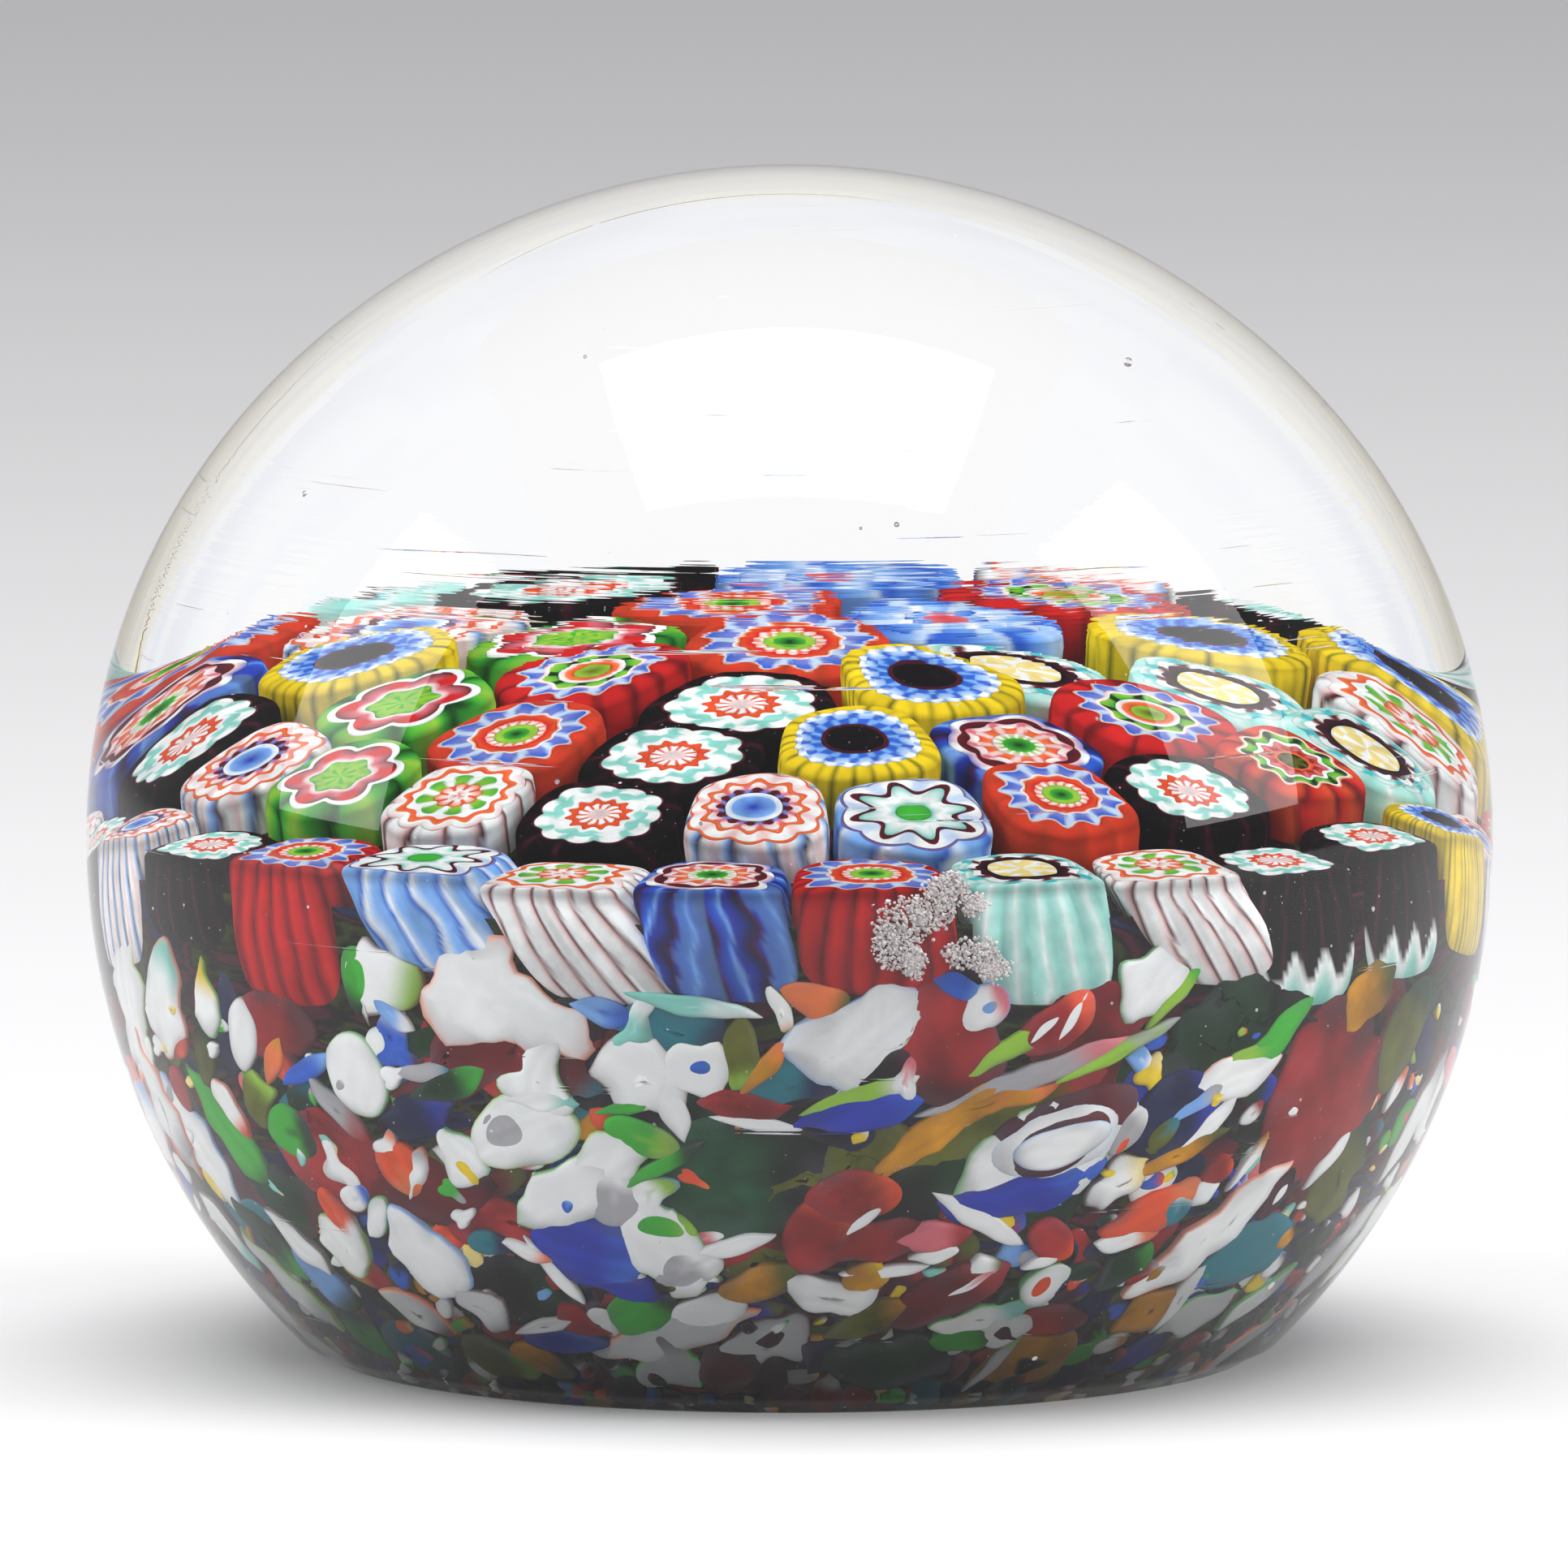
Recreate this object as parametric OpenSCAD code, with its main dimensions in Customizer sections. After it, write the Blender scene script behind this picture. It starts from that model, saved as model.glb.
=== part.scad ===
// Millefiori paperweight: a cushion of upright glass canes on a ground of coloured
// glass chips, cased in a clear dome. Every colour of glass is a solid of its own.
// +Z is up, -Y is the front, and the origin is the centre of the flat ground base.

/* [Clear casing] */
// Radius of the glass at its widest
glass_r = 38; // [37.5:0.5:39]
// Height of the widest point above the base
equator_z = 28; // [27.5:0.5:28.5]
// Radius of the shoulder arc, tighter than the crown arc above it
shoulder_r = 35; // [34.5:0.5:36]
// Width of the small rounded edge of the base
base_edge = 0.8; // [0.4:0.1:1]

/* [Envelope of the coloured glass] */
// Radius of the coloured glass under the side casing
set_r = 34.3; // [34:0.1:34.5]
// Height of the centre of that sphere
set_z = 26.5; // [26:0.5:27]

/* [Cane cushion] */
// Height of the crown of the cushion
cushion_top = 34.3; // [33.5:0.1:35]
// Radius of the sphere that the cane tops lie on
cushion_r = 100; // [90:5:120]
// Length of a cane
cane_len = 7.8; // [7:0.1:8.5]
// Radius of a cane at its top
cane_r = 3.5; // [3.2:0.05:3.5]
// Height that the canes stand above the glass between them
cane_proud = 0.3; // [0.2:0.05:0.5]
// Clear glass over the cane tops, under the cushion's sphere
cane_cover = 0.1; // [0.05:0.05:0.3]

/* [Ground chips] */
// Depth of a chip, measured inwards from the side casing
chip_depth = 4.2; // [3:0.2:4.6]
// Height of the chips that show on the ground base
base_chip_h = 3; // [2:0.2:3]
// Seed of the chips' uneven outlines
chip_seed = 7; // [1:1:99]

/* [Hidden] */

fine = 96;
crown_r = shoulder_r + (glass_r - shoulder_r) * sqrt(2);
crown_z = equator_z - (glass_r - shoulder_r);
base_r = sqrt(pow(glass_r, 2) - pow(equator_z, 2)) - base_edge;
cushion_z = cushion_top - cushion_r;
cane_taper = (cushion_r - cane_len) / cushion_r;
front = -90;

// Cane rings from the centre out: [canes, arc radius, turn of the first cane from the front]
ring_list = [
    [1, 0, 0],
    [7, 8.2, -13],
    [13, 15.8, -18],
    [20, 23.2, -4],
    [25, 30.6, -7]
];

// Pattern of each cane, ring by ring, anticlockwise from the first cane seen from above
ring_patterns = [
    "C",
    "ABGHCER",
    "ABKRGBJHADBEC",
    "DFCAJGIBADHAGCKADEIA",
    "KCGIAABDJAFHCBAEGKIADACFI"
];

// Outlines of a pattern from its casing inwards: [lobes, radius, lobe height], 0 lobes is round
pattern_outlines = [
    ["A", [[12, 2.65, 0.25], [12, 1.4, 0.15], [0, 0.9, 0]]],
    ["B", [[12, 2.3, 0.2], [0, 1.3, 0]]],
    ["C", [[12, 2.5, 0.25], [0, 1.55, 0], [0, 0.85, 0]]],
    ["D", [[12, 2.6, 0.3], [0, 1.7, 0], [0, 1.2, 0]]],
    ["E", [[6, 2.35, 0.5], [6, 1.35, 0.2]]],
    ["F", [[8, 2.75, 0.4], [8, 2.2, 0.4], [0, 0.85, 0]]],
    ["G", [[10, 2.7, 0.25], [0, 1.9, 0], [0, 1.45, 0]]],
    ["H", [[8, 2.2, 0.25], [0, 1.2, 0]]],
    ["I", [[12, 2.4, 0.25], [8, 1.2, 0.2]]],
    ["J", [[10, 2.55, 0.3], [0, 1.6, 0], [0, 1, 0]]],
    ["K", [[10, 2.35, 0.3], [0, 1.15, 0]]],
    ["R", [[12, 2.5, 0.25], [0, 1.55, 0], [0, 0.85, 0]]]
];

// Bands of chips from the cushion down: [angle below the set centre, chips, half width, half height]
chip_bands = [
    [9.5, 30, 3.1, 2.75],
    [20.5, 28, 3.1, 2.75],
    [31.5, 26, 3, 2.7],
    [42.5, 22, 2.9, 2.6]
];

// Colour of each chip, band by band, anticlockwise from the front
chip_colours = [
    "nawwrotgwrgaywbwrwaggwyrwdnwrw",
    "gdbwagrgwtabwwrwgdnwkwggrwbg",
    "ravpwvgtbwrwdnwyagrwdwrgkw",
    "ngawgtrbdwnawgwrdyawrw"
];

// Rings of chips on the base: [radius, chips, half width]
base_rings = [
    [8, 8, 2.3],
    [14.6, 15, 2.4]
];
base_colours = [
    "gwrdabwn",
    "wrdgwanbgwkgrdw"
];

// Thickness of a mica plate, and its depth under the skin of the coloured glass
mica_t = 0.25;
mica_depth = 1.1;
mica_lean = 80;

// Small plates of mica beside the red and the aqua front cane: [turn from the front, height, radius]
mica_plates = [
    [12.6, 27.5, 0.6],
    [14, 26.1, 0.65],
    [15.4, 24.7, 0.55],
    [14.9, 28.4, 0.5]
];

function lobed(lobes, r, rise, per_lobe = 2) =
    let (steps = lobes * per_lobe)
    [for (i = [0 : steps - 1])
        let (a = 360 * i / steps, d = r + rise * cos(lobes * a))
        [d * cos(a), d * sin(a)]];

function uneven(n, half_w, half_h, seed) =
    let (spread = rands(0.72, 1, n, seed))
    [for (i = [0 : n - 1])
        let (a = 360 * i / n)
        [half_w * spread[i] * cos(a), half_h * spread[i] * sin(a)]];

function outlines_of(pattern) =
    pattern_outlines[search([pattern], pattern_outlines)[0]][1];

module outline(shape) {
    if (shape[0] == 0)
        circle(r = shape[1], $fn = fine);
    else
        polygon(lobed(shape[0], shape[1], shape[2], shape[0] > 8 ? 2 : 4));
}

// Half section of the whole weight: sphere below the equator, shoulder and crown arcs above
module glass_half_section() {
    intersection() {
        square([2 * glass_r, 4 * glass_r]);
        union() {
            difference() {
                translate([0, equator_z])
                    circle(r = glass_r, $fn = fine);
                translate([-glass_r, equator_z])
                    square([2 * glass_r, 2 * glass_r]);
            }
            intersection() {
                translate([0, equator_z])
                    square([2 * glass_r, 2 * glass_r]);
                translate([glass_r - shoulder_r, equator_z])
                    circle(r = shoulder_r, $fn = fine);
                polygon([
                    [0, crown_z],
                    [2 * glass_r, crown_z + 2 * glass_r],
                    [2 * glass_r, crown_z - 1],
                    [0, crown_z - 1]
                ]);
            }
            intersection() {
                translate([0, crown_z])
                    circle(r = crown_r, $fn = fine);
                polygon([
                    [0, crown_z],
                    [0, crown_z + 2 * glass_r],
                    [2 * glass_r, crown_z + 2 * glass_r]
                ]);
            }
            square([base_r, 1]);
        }
    }
}

module glass_body() {
    difference() {
        rotate_extrude($fn = fine)
            glass_half_section();
        rotate_extrude($fn = fine)
            polygon([
                [base_r, 0],
                [base_r + base_edge, base_edge],
                [base_r + 4 * base_edge, base_edge],
                [base_r + 4 * base_edge, -1],
                [base_r, -1]
            ]);
    }
}

// Everything coloured lies inside this sphere and under the cushion's sphere
module set_envelope() {
    intersection() {
        translate([0, 0, set_z])
            sphere(r = set_r, $fn = fine);
        translate([0, 0, cushion_z])
            sphere(r = cushion_r, $fn = fine);
        cylinder(r = glass_r, h = cushion_top + 1, $fn = fine);
    }
}

// Carries its children to the foot of a cane that stands square to the cushion
module at_cane(arc, turn) {
    translate([0, 0, cushion_z])
        rotate([0, 0, front + turn])
            rotate([0, arc / cushion_r * 180 / PI, 0])
                translate([0, 0, cushion_r - cane_len])
                    children();
}

module cane_body() {
    cylinder(r1 = cane_r * cane_taper, r2 = cane_r, h = cane_len - cane_cover, $fn = fine);
}

// One layer of one cane: 0 is the casing, then each outline down to the core
module cane_layer(pattern, layer) {
    shapes = outlines_of(pattern);
    if (layer == 0)
        difference() {
            cane_body();
            translate([0, 0, -1])
                linear_extrude(cane_len + 2)
                    outline(shapes[0]);
        }
    else
        linear_extrude(cane_len - cane_cover)
            difference() {
                outline(shapes[layer - 1]);
                if (layer < len(shapes))
                    outline(shapes[layer]);
            }
}

// The same layer of every cane of one pattern
module all_canes(pattern, layer) {
    for (ring = [0 : len(ring_list) - 1])
        for (i = [0 : ring_list[ring][0] - 1])
            if (ring_patterns[ring][i] == pattern)
                at_cane(ring_list[ring][1], ring_list[ring][2] + 360 * i / ring_list[ring][0])
                    cane_layer(pattern, layer);
}

// Carries its children to the skin of the coloured glass, with +Z pointing outwards
module at_band(drop, turn) {
    translate([0, 0, set_z])
        rotate([0, 0, front + turn])
            rotate([0, 90 + drop, 0])
                translate([0, 0, set_r])
                    rotate([0, 0, 90])
                        children();
}

module chip(band, i) {
    shape = chip_bands[band];
    at_band(shape[0], 360 * (i + band % 2 / 2) / shape[1])
        translate([0, 0, -chip_depth])
            linear_extrude(chip_depth + 1)
                polygon(uneven(6 + i % 3, shape[2], shape[3], chip_seed + 100 * band + i));
}

module base_chip(ring, i) {
    shape = base_rings[ring];
    rotate([0, 0, front + 360 * (i + 0.5) / shape[1]])
        translate([shape[0], 0, -1])
            linear_extrude(base_chip_h + 1)
                polygon(uneven(6 + i % 2, shape[2], shape[2], chip_seed + 900 + 40 * ring + i));
}

// Every chip of one colour; with no colour given, every chip
module chip_prisms(colour = "") {
    for (band = [0 : len(chip_bands) - 1])
        for (i = [0 : chip_bands[band][1] - 1])
            if (colour == "" || chip_colours[band][i] == colour)
                chip(band, i);
    for (ring = [0 : len(base_rings) - 1])
        for (i = [0 : base_rings[ring][1] - 1])
            if (colour == "" || base_colours[ring][i] == colour)
                base_chip(ring, i);
}

module chips(colour) {
    intersection() {
        chip_prisms(colour);
        set_envelope();
    }
}

module mica_solids() {
    for (plate = mica_plates)
        rotate([0, 0, front + plate[0]])
            translate([set_r - mica_depth, 0, plate[1]])
                rotate([0, mica_lean, 10 * plate[0]])
                    cylinder(r = plate[2], h = mica_t, $fn = 7);
}

module clear_casing() {
    color("#e8f2ee", 0.35)
        difference() {
            glass_body();
            set_envelope();
        }
}

module pickup_glass() {
    color("#dfe9e6", 0.5)
        difference() {
            set_envelope();
            translate([0, 0, cushion_z])
                sphere(r = cushion_r - cane_len, $fn = fine);
            difference() {
                translate([0, 0, cushion_z])
                    cylinder(r = glass_r, h = cushion_r + 1, $fn = fine);
                translate([0, 0, cushion_z])
                    sphere(r = cushion_r - cane_cover - cane_proud, $fn = fine);
            }
            for (ring = ring_list)
                for (i = [0 : ring[0] - 1])
                    at_cane(ring[1], ring[2] + 360 * i / ring[0])
                        cane_body();
            mica_solids();
        }
}

module ground_bed() {
    color("#1c2420")
        difference() {
            intersection() {
                set_envelope();
                translate([0, 0, cushion_z])
                    sphere(r = cushion_r - cane_len, $fn = fine);
            }
            chip_prisms();
        }
}

module mica_flecks() { color("#c9c4bd") mica_solids(); }

module aubergine_casings() { color("#1d0f1a") all_canes("A", 0); }
module aqua_star_layers() { color("#d5eee6") all_canes("A", 1); }
module orange_star_rings() { color("#ef6a45") all_canes("A", 2); }
module pearl_cores() { color("#d9cfd0") all_canes("A", 3); }

module yellow_casings() { color("#f2d219") all_canes("B", 0); }
module blue_cog_layers() { color("#8fb4ea") all_canes("B", 1); }
module black_cores() { color("#1b1014") all_canes("B", 2); }

module red_casings() { color("#d8232a") all_canes("C", 0); }
module blue_star_layers() { color("#8d98d8") all_canes("C", 1); }
module red_rings() { color("#e5402f") all_canes("C", 2); }
module green_cores() { color("#6cae3b") all_canes("C", 3); }

module striped_casings() { color("#efe4e4") all_canes("D", 0); }
module red_star_layers() { color("#e0523a") all_canes("D", 1); }
module white_rings() { color("#f4f1f2") all_canes("D", 2); }
module cobalt_cores() { color("#3558c8") all_canes("D", 3); }

module green_casings() { color("#5dbb4a") all_canes("E", 0); }
module pink_flower_layers() { color("#e0626a") all_canes("E", 1); }
module lime_cores() { color("#8cc63c") all_canes("E", 2); }

module white_blue_casings() { color("#cddcf4") all_canes("F", 0); }
module aubergine_star_lines() { color("#5b2134") all_canes("F", 1); }
module pale_star_layers() { color("#d3ece8") all_canes("F", 2); }
module emerald_cores() { color("#33b34a") all_canes("F", 3); }

module turquoise_casings() { color("#3fbfc4") all_canes("G", 0); }
module white_star_layers() { color("#f2f7f5") all_canes("G", 1); }
module brown_rings() { color("#3a1a1e") all_canes("G", 2); }
module cream_cores() { color("#f6e27a") all_canes("G", 3); }

module bright_blue_casings() { color("#2a66c9") all_canes("H", 0); }
module ice_rings() { color("#a9cdf2") all_canes("H", 1); }
module rose_cores() { color("#e0526a") all_canes("H", 2); }

module orange_casings() { color("#f08a66") all_canes("I", 0); }
module green_wreath_layers() { color("#58b542") all_canes("I", 1); }
module scarlet_cores() { color("#e2382f") all_canes("I", 2); }

module dark_red_casings() {
    color("#a81d24") {
        all_canes("J", 0);
        all_canes("R", 0);
    }
}
module green_star_layers() {
    color("#4fa14f") {
        all_canes("J", 1);
        all_canes("R", 1);
    }
}
module crimson_rings() {
    color("#e04a3c") {
        all_canes("J", 2);
        all_canes("R", 2);
    }
}
module dark_cores() {
    color("#2b2a3a") {
        all_canes("J", 3);
        all_canes("R", 3);
    }
}

module cobalt_casings() { color("#1f3fb0") all_canes("K", 0); }
module coral_star_layers() { color("#ea6a50") all_canes("K", 1); }
module moss_cores() { color("#5b8f2e") all_canes("K", 2); }

module white_chips() { color("#f3f3f5") chips("w"); }
module grey_chips() { color("#a9a9ae") chips("k"); }
module dark_red_chips() { color("#8e1f24") chips("r"); }
module vermilion_chips() { color("#e23f2c") chips("v"); }
module dark_green_chips() { color("#16401f") chips("g"); }
module bright_green_chips() { color("#3fae3a") chips("d"); }
module cobalt_chips() { color("#2434b4") chips("b"); }
module navy_chips() { color("#141c34") chips("n"); }
module amber_chips() { color("#c98a1c") chips("a"); }
module yellow_chips() { color("#e6cf3a") chips("y"); }
module teal_chips() { color("#1f7f8c") chips("t"); }
module pink_chips() { color("#d3476b") chips("p"); }
module cane_scrap_chips() { color("#7f8fb8") chips("o"); }

clear_casing();
pickup_glass();
ground_bed();
mica_flecks();
aubergine_casings();
aqua_star_layers();
orange_star_rings();
pearl_cores();
yellow_casings();
blue_cog_layers();
black_cores();
red_casings();
blue_star_layers();
red_rings();
green_cores();
striped_casings();
red_star_layers();
white_rings();
cobalt_cores();
green_casings();
pink_flower_layers();
lime_cores();
white_blue_casings();
aubergine_star_lines();
pale_star_layers();
emerald_cores();
turquoise_casings();
white_star_layers();
brown_rings();
cream_cores();
bright_blue_casings();
ice_rings();
rose_cores();
orange_casings();
green_wreath_layers();
scarlet_cores();
dark_red_casings();
green_star_layers();
crimson_rings();
dark_cores();
cobalt_casings();
coral_star_layers();
moss_cores();
white_chips();
grey_chips();
dark_red_chips();
vermilion_chips();
dark_green_chips();
bright_green_chips();
cobalt_chips();
navy_chips();
amber_chips();
yellow_chips();
teal_chips();
pink_chips();
cane_scrap_chips();
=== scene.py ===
"""Looks of a millefiori paperweight: upright glass canes on a ground of chips, cased in a clear dome."""
import math
import random

import bmesh
import bpy
from mathutils import Matrix, Vector, noise


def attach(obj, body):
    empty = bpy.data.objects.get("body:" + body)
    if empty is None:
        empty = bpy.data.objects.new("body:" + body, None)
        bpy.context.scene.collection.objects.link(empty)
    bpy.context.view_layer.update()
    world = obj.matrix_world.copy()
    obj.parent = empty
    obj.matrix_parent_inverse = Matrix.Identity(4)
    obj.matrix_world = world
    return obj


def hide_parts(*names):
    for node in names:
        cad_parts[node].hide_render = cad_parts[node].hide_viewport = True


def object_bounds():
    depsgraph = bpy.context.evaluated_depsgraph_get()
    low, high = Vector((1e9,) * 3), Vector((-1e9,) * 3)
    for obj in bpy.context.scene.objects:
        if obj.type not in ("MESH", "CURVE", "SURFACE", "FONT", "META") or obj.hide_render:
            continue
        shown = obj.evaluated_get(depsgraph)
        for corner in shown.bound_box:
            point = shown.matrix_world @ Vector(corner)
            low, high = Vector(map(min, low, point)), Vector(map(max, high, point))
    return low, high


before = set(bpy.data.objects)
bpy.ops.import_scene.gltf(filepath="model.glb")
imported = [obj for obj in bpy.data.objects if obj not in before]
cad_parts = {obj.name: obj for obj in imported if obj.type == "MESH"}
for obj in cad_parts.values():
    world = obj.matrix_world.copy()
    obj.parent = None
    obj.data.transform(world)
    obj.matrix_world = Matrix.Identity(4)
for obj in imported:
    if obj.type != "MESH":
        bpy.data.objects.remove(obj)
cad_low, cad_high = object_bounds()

# ---------------------------------------------------------------- sizes, in mm
MM = 0.001
GLASS_R = cad_high.x / MM
EQUATOR_Z = 28.0
SHOULDER_R = 35.0
BASE_EDGE = 0.8
BASE_R = math.sqrt(GLASS_R ** 2 - EQUATOR_Z ** 2) - BASE_EDGE
CROWN_R = SHOULDER_R + (GLASS_R - SHOULDER_R) * math.sqrt(2)
CROWN_Z = EQUATOR_Z - (GLASS_R - SHOULDER_R)
SET_R = 34.3
SET_CENTRE = Vector((0, 0, 26.5))
CUSHION_TOP = 34.3
CUSHION_R = 100.0
CUSHION_CENTRE = Vector((0, 0, CUSHION_TOP - CUSHION_R))
CANE_LEN = 7.8
OUTER_ARC = 28.0
FLOOR_GAP = 0.08
PILLOW_DEPTH = 0.95
OUTER_LEVEL = 0.19
OUTER_SINK = 0.3
CANE_GAP = 0.14
SPREAD_PACE = 3
INNER_LEVEL = -0.11
# Factor that darkens the tops of the canes and their ledges, not their sides: painted shade that tones down
# the overhead light on them
TOP_PAINTED_SHADE = 0.66
HOLD = 8
DROOP = 0.45
DROOP_FROM = 21.5

FRONT_ZONE = 82
FOOT_SHADE = 0.74
CANE_FOOT_DROP = 9
CELL_CAP = 4.3
OUTER_BULGE = 3.2
CELL_ROUNDING = 9
BAND_GAP = 0.025
STAR_FOOT = 3.0
STAR_TAPER = 0.82
BORE_FOOT = 3.2
BORE_TAPER = 0.7
TOOTH_COUNT = 14

# ---------------------------------------------------------------- glass
GLASS_INDEX = 1.5
SEED_SCALE = 3200
SEED_TONE = (0.55, 0.52, 0.52)
BED_SEED_SCALE = 2600
BED_SEED_TONE = (0.3, 0.3, 0.3)
FOLD_START = 0.3
FOLD_SPAN = 0.42
DUST_SCALE = 700
DUST_SIZE = 0.022
# Height in metres and strength of the belt of fine waves in the casing
BELT = ((0.0405, 0.0), (0.043, 0.35), (0.0445, 1.0), (0.0462, 1.0), (0.0475, 0.0))

# ---------------------------------------------------------------- colours, linear
# Dark colour mixed into the chips towards their edges: painted shade
EDGE_PAINTED_SHADE = (0.10, 0.10, 0.13)
WHITE = (0.90, 0.92, 0.93)
PEARL = (0.62, 0.55, 0.55)
CREAM = (0.92, 0.74, 0.28)
YELLOW = (0.86, 0.62, 0.015)
OLIVE = (0.12, 0.13, 0.01)
LIME = (0.30, 0.55, 0.05)
GREEN = (0.05, 0.42, 0.04)
BOTTLE = (0.006, 0.035, 0.010)
FOREST = (0.012, 0.075, 0.032)
AQUA = (0.24, 0.62, 0.55)
MINT = (0.30, 0.70, 0.64)
PALE_MINT = (0.52, 0.82, 0.77)
TURQUOISE = (0.05, 0.50, 0.56)
TEAL = (0.02, 0.19, 0.25)
SKY = (0.20, 0.42, 0.85)
ICE = (0.55, 0.68, 0.88)
LAVENDER = (0.20, 0.22, 0.62)
BLUE = (0.03, 0.12, 0.60)
COBALT = (0.02, 0.04, 0.42)
NAVY = (0.010, 0.015, 0.07)
BLACK = (0.004, 0.003, 0.004)
AUBERGINE = (0.06, 0.008, 0.02)
MAROON = (0.13, 0.010, 0.014)
RED = (0.62, 0.018, 0.018)
CRIMSON = (0.45, 0.010, 0.016)
VERMILION = (0.78, 0.085, 0.025)
ORANGE = (0.85, 0.20, 0.06)
ROSE = (0.72, 0.16, 0.20)
BLUSH = (0.86, 0.60, 0.60)
AMBER = (0.62, 0.27, 0.01)
GREY = (0.42, 0.42, 0.45)


def mix(a, b, share):
    return tuple(p + (q - p) * share for p, q in zip(a, b))


def smooth(low, high, value):
    """Soft step from 0 at low to 1 at high; low may be the larger one."""
    share = min(max((value - low) / (high - low), 0.0), 1.0)
    return share * share * (3 - 2 * share)


def ramp(stops, place):
    """Colour at a place from 0 to 1 along [(place, colour), ...]."""
    for (p, a), (q, b) in zip(stops, stops[1:]):
        if place <= q:
            return mix(a, b, (place - p) / max(q - p, 1e-6))
    return stops[-1][1]


# ---------------------------------------------------------------- mesh building
def turn_of(point):
    """Degrees round the weight from the front, positive to the right."""
    return math.degrees(math.atan2(point[0], -point[1]))


def droop(point):
    """The set slopes away at the back: how far a point of it is lowered."""
    reach = math.hypot(point[0], point[1])
    behind = smooth(65, 125, abs(turn_of(point)))
    return behind * DROOP * max(reach - DROOP_FROM, 0) * smooth(6, 20, point[2])


class Solid:
    """Closed bodies made of rows of points, with a tint at each point, gathered in one mesh."""

    def __init__(self):
        self.points = []
        self.faces = []
        self.tints = []

    def rows(self, rows, tints, poles=None):
        """Joins rows of equal length round and round; with two poles the ends close to points,
        and without them the last row joins the first."""
        count = len(rows[0])
        start = len(self.points)
        for row, tint in zip(rows, tints):
            self.points.extend(row)
            self.tints.extend(tint)
        bands = len(rows) - 1 if poles else len(rows)
        for i in range(bands):
            near = start + i * count
            far = start + ((i + 1) % len(rows)) * count
            for k in range(count):
                n = (k + 1) % count
                self.faces.append((near + k, near + n, far + n, far + k))
        if not poles:
            return
        for (point, tint), row in zip(poles, (0, len(rows) - 1)):
            tip = len(self.points)
            self.points.append(point)
            self.tints.append(tint)
            edge = start + row * count
            for k in range(count):
                self.faces.append((tip, edge + (k + 1) % count, edge + k))

    def piece(self, name, material, nodes=(), slot=None, sloped=True):
        mesh = bpy.data.meshes.new(name)
        if sloped:
            self.points = [(p[0], p[1], p[2] - droop(p)) for p in self.points]
        mesh.from_pydata([tuple(c * MM for c in p) for p in self.points], [], self.faces)
        colour = mesh.attributes.new("tint", "FLOAT_COLOR", "POINT")
        flat = [c for t in self.tints for c in (t[0], t[1], t[2], 1.0)]
        colour.data.foreach_set("color", flat)
        body = bmesh.new()
        body.from_mesh(mesh)
        bmesh.ops.recalc_face_normals(body, faces=body.faces)
        body.to_mesh(mesh)
        body.free()
        mesh.shade_smooth()
        thing = bpy.data.objects.new(name, mesh)
        bpy.context.scene.collection.objects.link(thing)
        mesh.materials.append(material)
        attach(thing, "root")
        if nodes:
            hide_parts(*nodes)
        return thing


# ---------------------------------------------------------------- materials
def new_material(name):
    material = bpy.data.materials.new(name)
    material.use_nodes = True
    tree = material.node_tree
    tree.nodes.clear()
    return material, tree


def add(tree, kind, operation=None, **inputs):
    """A shader node with its constants; a space in a socket's name is written as _."""
    node = tree.nodes.new("ShaderNode" + kind)
    if operation:
        node.operation = operation
    for socket, value in inputs.items():
        node.inputs[socket.replace("_", " ")].default_value = value
    return node


def link(tree, a, out, b, into):
    tree.links.new(a.outputs[out], b.inputs[into])


def add_seeds(tree, place, scale, size, sparse=True):
    """A node that is 1 inside small seeds and 0 elsewhere; where sparse, most of the seeds are smaller."""
    cells = add(tree, "TexVoronoi", Scale=scale)
    near = add(tree, "Math", "LESS_THAN")
    near.inputs[1].default_value = size
    link(tree, place, "Object", cells, "Vector")
    if not sparse:
        link(tree, cells, "Distance", near, 0)
        return near
    bright = add(tree, "VectorMath", "LENGTH")
    apart = add(tree, "Math", "MULTIPLY")
    link(tree, cells, "Color", bright, 0)
    link(tree, cells, "Distance", apart, 0)
    link(tree, bright, "Value", apart, 1)
    link(tree, apart, "Value", near, 0)
    return near


def add_pale(tree, seeds, colour, socket, tone):
    """A colour that turns pale inside the seeds."""
    pale = tree.nodes.new("ShaderNodeMix")
    pale.data_type = "RGBA"
    pale.inputs["B"].default_value = (*tone, 1)
    link(tree, seeds, "Value", pale, "Factor")
    link(tree, colour, socket, pale, "A")
    return pale


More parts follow.
